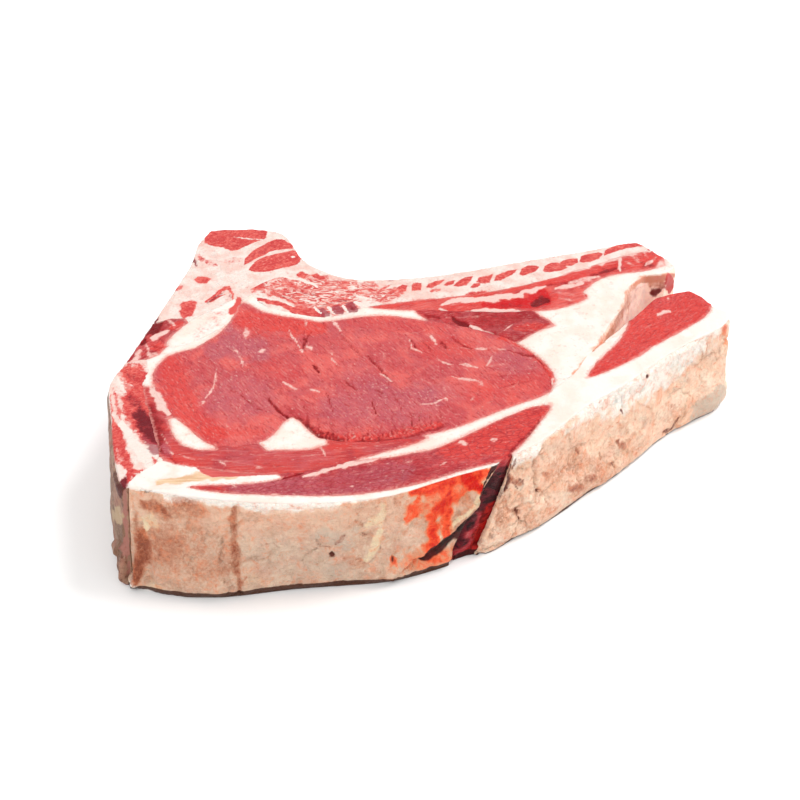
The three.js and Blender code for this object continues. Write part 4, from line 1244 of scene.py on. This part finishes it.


# %% [markdown]
# ## Skin side
# The skin is mottled in beige, pink and grey at three scales at once. Where it is trimmed the fat
# shows white, through a peach fringe; that white is written brighter than the white of the cut
# face, as painted light for the dimmer sides. Rust-brown stains break up into specks at their weak
# ends, because their number is compared with noise. The creases between cushions get a painted
# shade. The tear behind the flap and the lowest strip of the side get painted shade, near-black red
# in the tear and dark brown at the foot. The right fat is written lighter than the left, partly for
# its creamier skin and partly as painted light on the side that faces the lamp.

# %% Skin side
def skin_finish(name, warm, light, pink, bright):
    f = Finish(name)
    broad, blotch = (f.noise(size, 5, warp=0.5, rough=0.6) for size in (13, 3.6))
    fine, veins = f.noise(0.8, 4, rough=0.7), f.noise(2.2, 4, warp=1.6, rough=0.6)
    uneven_blotch = f.centred(blotch)
    colour = f.lay(warm, light, broad, 0.38, 0.62)
    colour = f.lay(colour, bright, blotch, 0.48, 0.66, 0.7)
    colour = f.lay(colour, pink, f.noise(7, 4), 0.48, 0.68, 0.5)
    colour = f.lay(colour, shade(212, 162, 130), blotch, 0.46, 0.32, 0.4)
    colour = f.lay(colour, shade(196, 142, 112), fine, 0.54, 0.7, 0.35)
    colour = f.lay(colour, shade(270, 248, 228), fine, 0.45, 0.3, 0.35)
    colour = f.mark(colour, "grey", shade(222, 208, 190), 0.2, 1.0, 0.8)
    high = f.blend((f.height, 1 / MM), (uneven_blotch, 14.0))
    colour = f.lay(colour, shade(276, 218, 184), high, 18.0, 38.0, 0.6)
    # Painted shade in the creases between the skin's cushions.
    crease_shade = f.blend((f.brushed("crease"), 1.0), (f.ragged, 1.0))
    colour = f.lay(colour, shade(184, 124, 92), crease_shade, 0.3, 1.2, 0.45)
    bare = f.blend((f.brushed("pale"), 1.0), (f.ragged, 0.9), (uneven_blotch, 0.8))
    # The trimmed white is brighter than the cut face's white: painted light for the dimmer sides.
    colour = f.lay(colour, shade(276, 232, 200), bare, -0.3, 0.8, 0.85)
    colour = f.lay(colour, shade(288, 278, 266), bare, 0.3, 1.25)
    grit = f.centred(f.noise(1.2, 5, warp=0.6, rough=0.7))
    speck = f.blend((f.brushed("rust"), 1.0), (grit, 2.0), (uneven_blotch, 1.2))
    colour = f.lay(colour, shade(226, 150, 112), speck, 0.05, 0.9, 0.6)
    colour = f.lay(colour, shade(190, 100, 66), speck, 0.5, 1.5, 0.85)
    colour = f.lay(colour, shade(138, 62, 42), speck, 1.1, 1.8, 0.7)
    colour = f.mark(colour, "cream", shade(274, 250, 208), 0.3, 1.1, 0.85)
    soak = f.centred(f.noise(3, 5, warp=0.8, rough=0.6))
    blood = f.blend((f.brushed("red"), 1.0), (soak, 1.8), (f.ragged, 0.6))
    colour = f.lay(colour, shade(278, 166, 112), blood, -0.1, 0.6, 0.75)
    colour = f.lay(colour, shade(290, 98, 44), blood, 0.35, 1.1, 0.9)
    colour = f.lay(colour, shade(250, 6, 0), blood, 0.95, 1.7, 0.95)
    colour = f.mark(colour, "dark", shade(96, 36, 28), 0.55, 1.5, 0.85, 1.4, shade(182, 106, 80), 0.05)
    # Painted shade on the rim of the tear.
    colour = f.mark(colour, "plum_and_shade", shade(70, 26, 30), 0.4, 1.2, 0.85, 1.2, shade(160, 100, 90), 0.1)
    if name.startswith("left"):
        # Painted shade in the tear behind the flap.
        strands = f.noise(2.6, 4, f.turned(20, 2), warp=0.6)
        painted_shade = f.lay(shade(26, 0, 4), shade(92, 16, 20), strands, 0.42, 0.62)
        colour = f.mark(colour, "tear", painted_shade, 0.15, 0.5, 0.97, 0.3)
    face = f.step(f.blend((f.brushed("cut"), 1.0), (f.ragged, 0.5)), 0.3, 0.7)
    cut_fat = f.lay(shade(254, 245, 237), shade(252, 233, 220), broad, 0.4, 0.65)
    cut_fat = f.seam(cut_fat, shade(242, 164, 152), 1.2, 0.7)
    # Painted shade along the near foot, in dark brown.
    colour = f.mark(f.mix(face, colour, cut_fat), "foot", shade(92, 52, 36), 0.25, 0.8, 0.97, 0.5)
    height = f.blend((fine, 0.6), (blotch, 1.2), (veins, 0.8), (f.cells(2.4), 0.3))
    f.bumps(f.sum("MULTIPLY", f.scaled(height, 1.0, -1.42), f.scaled(face, -0.85, 1.0)), 1.3)
    return f.finish(colour, f.scaled(fine, 0.25, 0.3), 0.12, 1.5, 0.2)


# %% [markdown]
# ## Sawn bone and sinew
# The hard rim of the bone is pale. Its sponge is a red that tiny white walls break up, so a fine
# warped noise decides between the two wherever the brush asked for foam. The outer faces of the
# bones are rough, grey-brown at the left end and a paler pink-brown along the back. The sinew is a
# band of cream threads set in white fat.

# %% Bone and sinew
def bone_finish(name, turn, side_dark, side_light, stained):
    f = Finish(name)
    cloud, fine = f.noise(5, 4), f.noise(0.7, 3)
    foam = f.noise(1.7, 5, f.turned(turn, 1.9), warp=1.4, rough=0.62)
    pores = f.noise(0.9, 4, f.turned(turn, 1.4), rough=0.7)
    spots = f.blend((pores, 1.0), (cloud, 0.4))
    red = f.lay(shade(212, 48, 50), shade(244, 108, 96), spots, 0.58, 0.86)
    colour = f.lay(shade(253, 238, 228), shade(250, 212, 200), cloud, 0.38, 0.66)
    colour = f.lay(colour, shade(246, 192, 180), foam, 0.58, 0.72, 0.3)
    mask = f.step(f.blend((f.brushed("foam"), 1.0), (f.ragged, 0.8)), 0.05, 0.7)
    for value, start, end, peak, tint in (
        (foam, 0.38, 0.5, 0.9, shade(244, 150, 138)),
        (foam, 0.44, 0.58, 0.95, red),
        (pores, 0.6, 0.7, 0.6, shade(252, 214, 204)),
    ):
        colour = f.mix(f.sum("MULTIPLY", mask, f.step(value, start, end, peak)), colour, tint)
    colour = f.mark(colour, "red", red, 0.35, 1.0, 0.95, 1.5, shade(248, 176, 166), -0.05)
    inner = f.sum("MULTIPLY", f.step(pores, 0.58, 0.7, 0.4), f.step(f.brushed("red"), 0.2, 0.6))
    colour = f.mix(inner, colour, shade(248, 180, 170))
    colour = f.mark(colour, "dusk", shade(168, 62, 76), 0.4, 1.1, 0.8)
    colour = f.mark(colour, "dark", shade(112, 8, 24), 0.45, 1.1, 0.9, 1.2, shade(180, 44, 54), 0.1)
    colour = f.mark(colour, "pale", shade(254, 238, 228), 0.35, 0.9)
    side = f.lay(side_dark, side_light, f.noise(13, 6, warp=0.8, rough=0.68), 0.36, 0.64)
    side = f.lay(side, shade(206, 128, 110), f.noise(9, 4, warp=0.8), 0.42, 0.7, 0.45)
    side = f.lay(side, shade(104, 46, 38), f.noise(2.2, 5, rough=0.7), 0.54, 0.66, stained)
    side = f.lay(side, shade(222, 190, 164), pores, 0.54, 0.74, 0.3 + 0.25 * stained)
    side = f.mark(side, "dusk", shade(184, 124, 110))
    side = f.mark(side, "cream", shade(206, 174, 138))
    side = f.mark(side, "dark", shade(92, 26, 26), 0.3, 1.1, 0.9, 1.4)
    face = f.step(f.blend((f.brushed("cut"), 1.0), (f.ragged, 0.5)), 0.3, 0.65)
    f.bumps(f.blend((foam, 0.8), (pores, 0.8), (fine, 0.3)), 0.6)
    return f.finish(f.mix(face, side, colour), f.scaled(fine, 0.2, 0.35), 0.1, 1.5, 0.15)


def sinew_finish(name):
    f = Finish(name)
    strand, cloud = f.noise(1.0, 4, f.turned(2, 7), rough=0.6), f.noise(6, 3)
    fat = f.lay(shade(254, 244, 236), shade(252, 230, 216), cloud, 0.4, 0.66)
    band = f.lay(shade(226, 180, 138), shade(246, 214, 176), strand, 0.36, 0.64)
    threads = f.blend((f.brushed("cream"), 1.0), (f.ragged, 1.0))
    colour = f.lay(fat, band, threads, 0.1, 0.9)
    colour = f.seam(colour, shade(240, 150, 140), 0.9, 0.8)
    lean = f.lay(shade(204, 60, 60), shade(222, 90, 84), strand, 0.4, 0.62)
    colour = f.mark(colour, "red", lean, 0.35, 0.95, 0.97, 1.2, shade(246, 176, 166), 0.05)
    f.bumps(strand, 0.25)
    return f.finish(colour, 0.35, 0.15, 1.5, 0.35, 0.15)


# %% Dress every piece
LEAN_LOOKS = {
    "rib_eye": (-56, 2.6, shade(232, 104, 98), shade(206, 80, 84), 1.0),
    "rib_cap": (4, 6, shade(214, 74, 70), shade(186, 56, 62), 0.8),
    "outer_strip": (14, 2.4, shade(208, 68, 70), shade(186, 52, 60), 0.8, 0.5),
    "tail_strip": (44, 2, shade(238, 84, 76), shade(218, 62, 60), 0.8, 0.25),
    "wedge_meat": (10, 2.4, shade(206, 54, 56), shade(170, 30, 38), 1.0, 0.4),
    "rib_meat": (22, 5, shade(232, 96, 88), shade(208, 62, 60), 0.8),
    "chine_meat": (50, 3, shade(214, 76, 74), shade(170, 40, 48), 1.0),
}
BONE_LOOKS = {
    "feather_bone": (30, shade(136, 100, 78), shade(190, 150, 124), 0.8),
    "chine_bone": (30, shade(188, 144, 120), shade(218, 178, 152), 0.25),
    "rib_bone": (-6, shade(198, 152, 128), shade(226, 186, 160), 0.15),
}
# The right fat's colours are lighter than the left's: partly its creamier skin, partly painted light on the
# side facing the lamp.
SKIN_LOOKS = {
    "left_fat": (shade(236, 186, 158), shade(250, 214, 186), shade(240, 182, 160), shade(264, 238, 210)),
    "right_fat": (shade(288, 232, 196), shade(292, 262, 234), shade(284, 216, 184), shade(302, 280, 254)),
}
SHAPE_ONLY = ("lift", "sink")
for node, slot in NODES.items():
    piece = pieces[node]
    marks = {kind: values for kind, values in brushed[node].items()
             if values.any() and kind not in SHAPE_ONLY}
    for kind, values in {**marks, "seam": seam_of[node], "cut": cut_of[node]}.items():
        layer = piece.data.attributes.new(kind, "FLOAT", "POINT")
        layer.data.foreach_set("value", values.astype(np.float32))
    if slot == "red_meat":
        material = lean_finish(node + "_lean", *LEAN_LOOKS[node])
    elif slot == "skin_fat":
        material = skin_finish(node + "_skin", *SKIN_LOOKS[node])
    elif slot == "cut_bone":
        material = bone_finish(node + "_sawn", *BONE_LOOKS[node])
    else:
        material = {"white_fat": fat_finish, "sinew": sinew_finish}[slot](node + "_" + slot)
    piece.data.materials.clear()
    piece.data.materials.append(material)
    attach(piece, "root")
    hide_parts(node)
print("dressed", len(pieces), "pieces")

# %% [markdown]
# ## Light and floor
# The photograph is bright all round, with a white ground and only a faint shadow to the left and
# a thin dark one under the near foot. So an even white sky does half of the work. One wide soft
# lamp from the right, high up and a little behind, gives the shadows their side, and a slightly
# narrower one from the front and above lights the skin side.

# %% Light and floor
world = bpy.data.worlds.new("studio")
world.use_nodes = True
sky = world.node_tree.nodes["Background"]
sky.inputs["Color"].default_value = (1, 1, 1, 1)
sky.inputs["Strength"].default_value = 0.78
bpy.context.scene.world = world
bpy.context.scene.view_settings.view_transform = "Standard"

for name, strength, spread, travels in (
    ("key", 2.1, 28, (-0.55, -0.3, -0.8)),
    ("fill", 1.3, 24, (0.1, 0.64, -0.77)),
):
    lamp_data = bpy.data.lights.new(name, "SUN")
    lamp_data.energy = strength
    lamp_data.angle = math.radians(spread)
    lamp = bpy.data.objects.new(name, lamp_data)
    lamp.rotation_euler = Vector(travels).to_track_quat("-Z", "Y").to_euler()
    bpy.context.scene.collection.objects.link(lamp)

floor_shape = bmesh.new()
bmesh.ops.create_grid(floor_shape, x_segments=1, y_segments=1, size=6.0)
floor_mesh = bpy.data.meshes.new("floor")
floor_shape.to_mesh(floor_mesh)
floor_shape.free()
floor = bpy.data.objects.new("floor", floor_mesh)
bpy.context.scene.collection.objects.link(floor)
paper = bpy.data.materials.new("paper")
paper.use_nodes = True
paper_surface = paper.node_tree.nodes["Principled BSDF"]
paper_surface.inputs["Base Color"].default_value = (0.9, 0.895, 0.89, 1)
paper_surface.inputs["Roughness"].default_value = 0.8
floor_mesh.materials.append(paper)
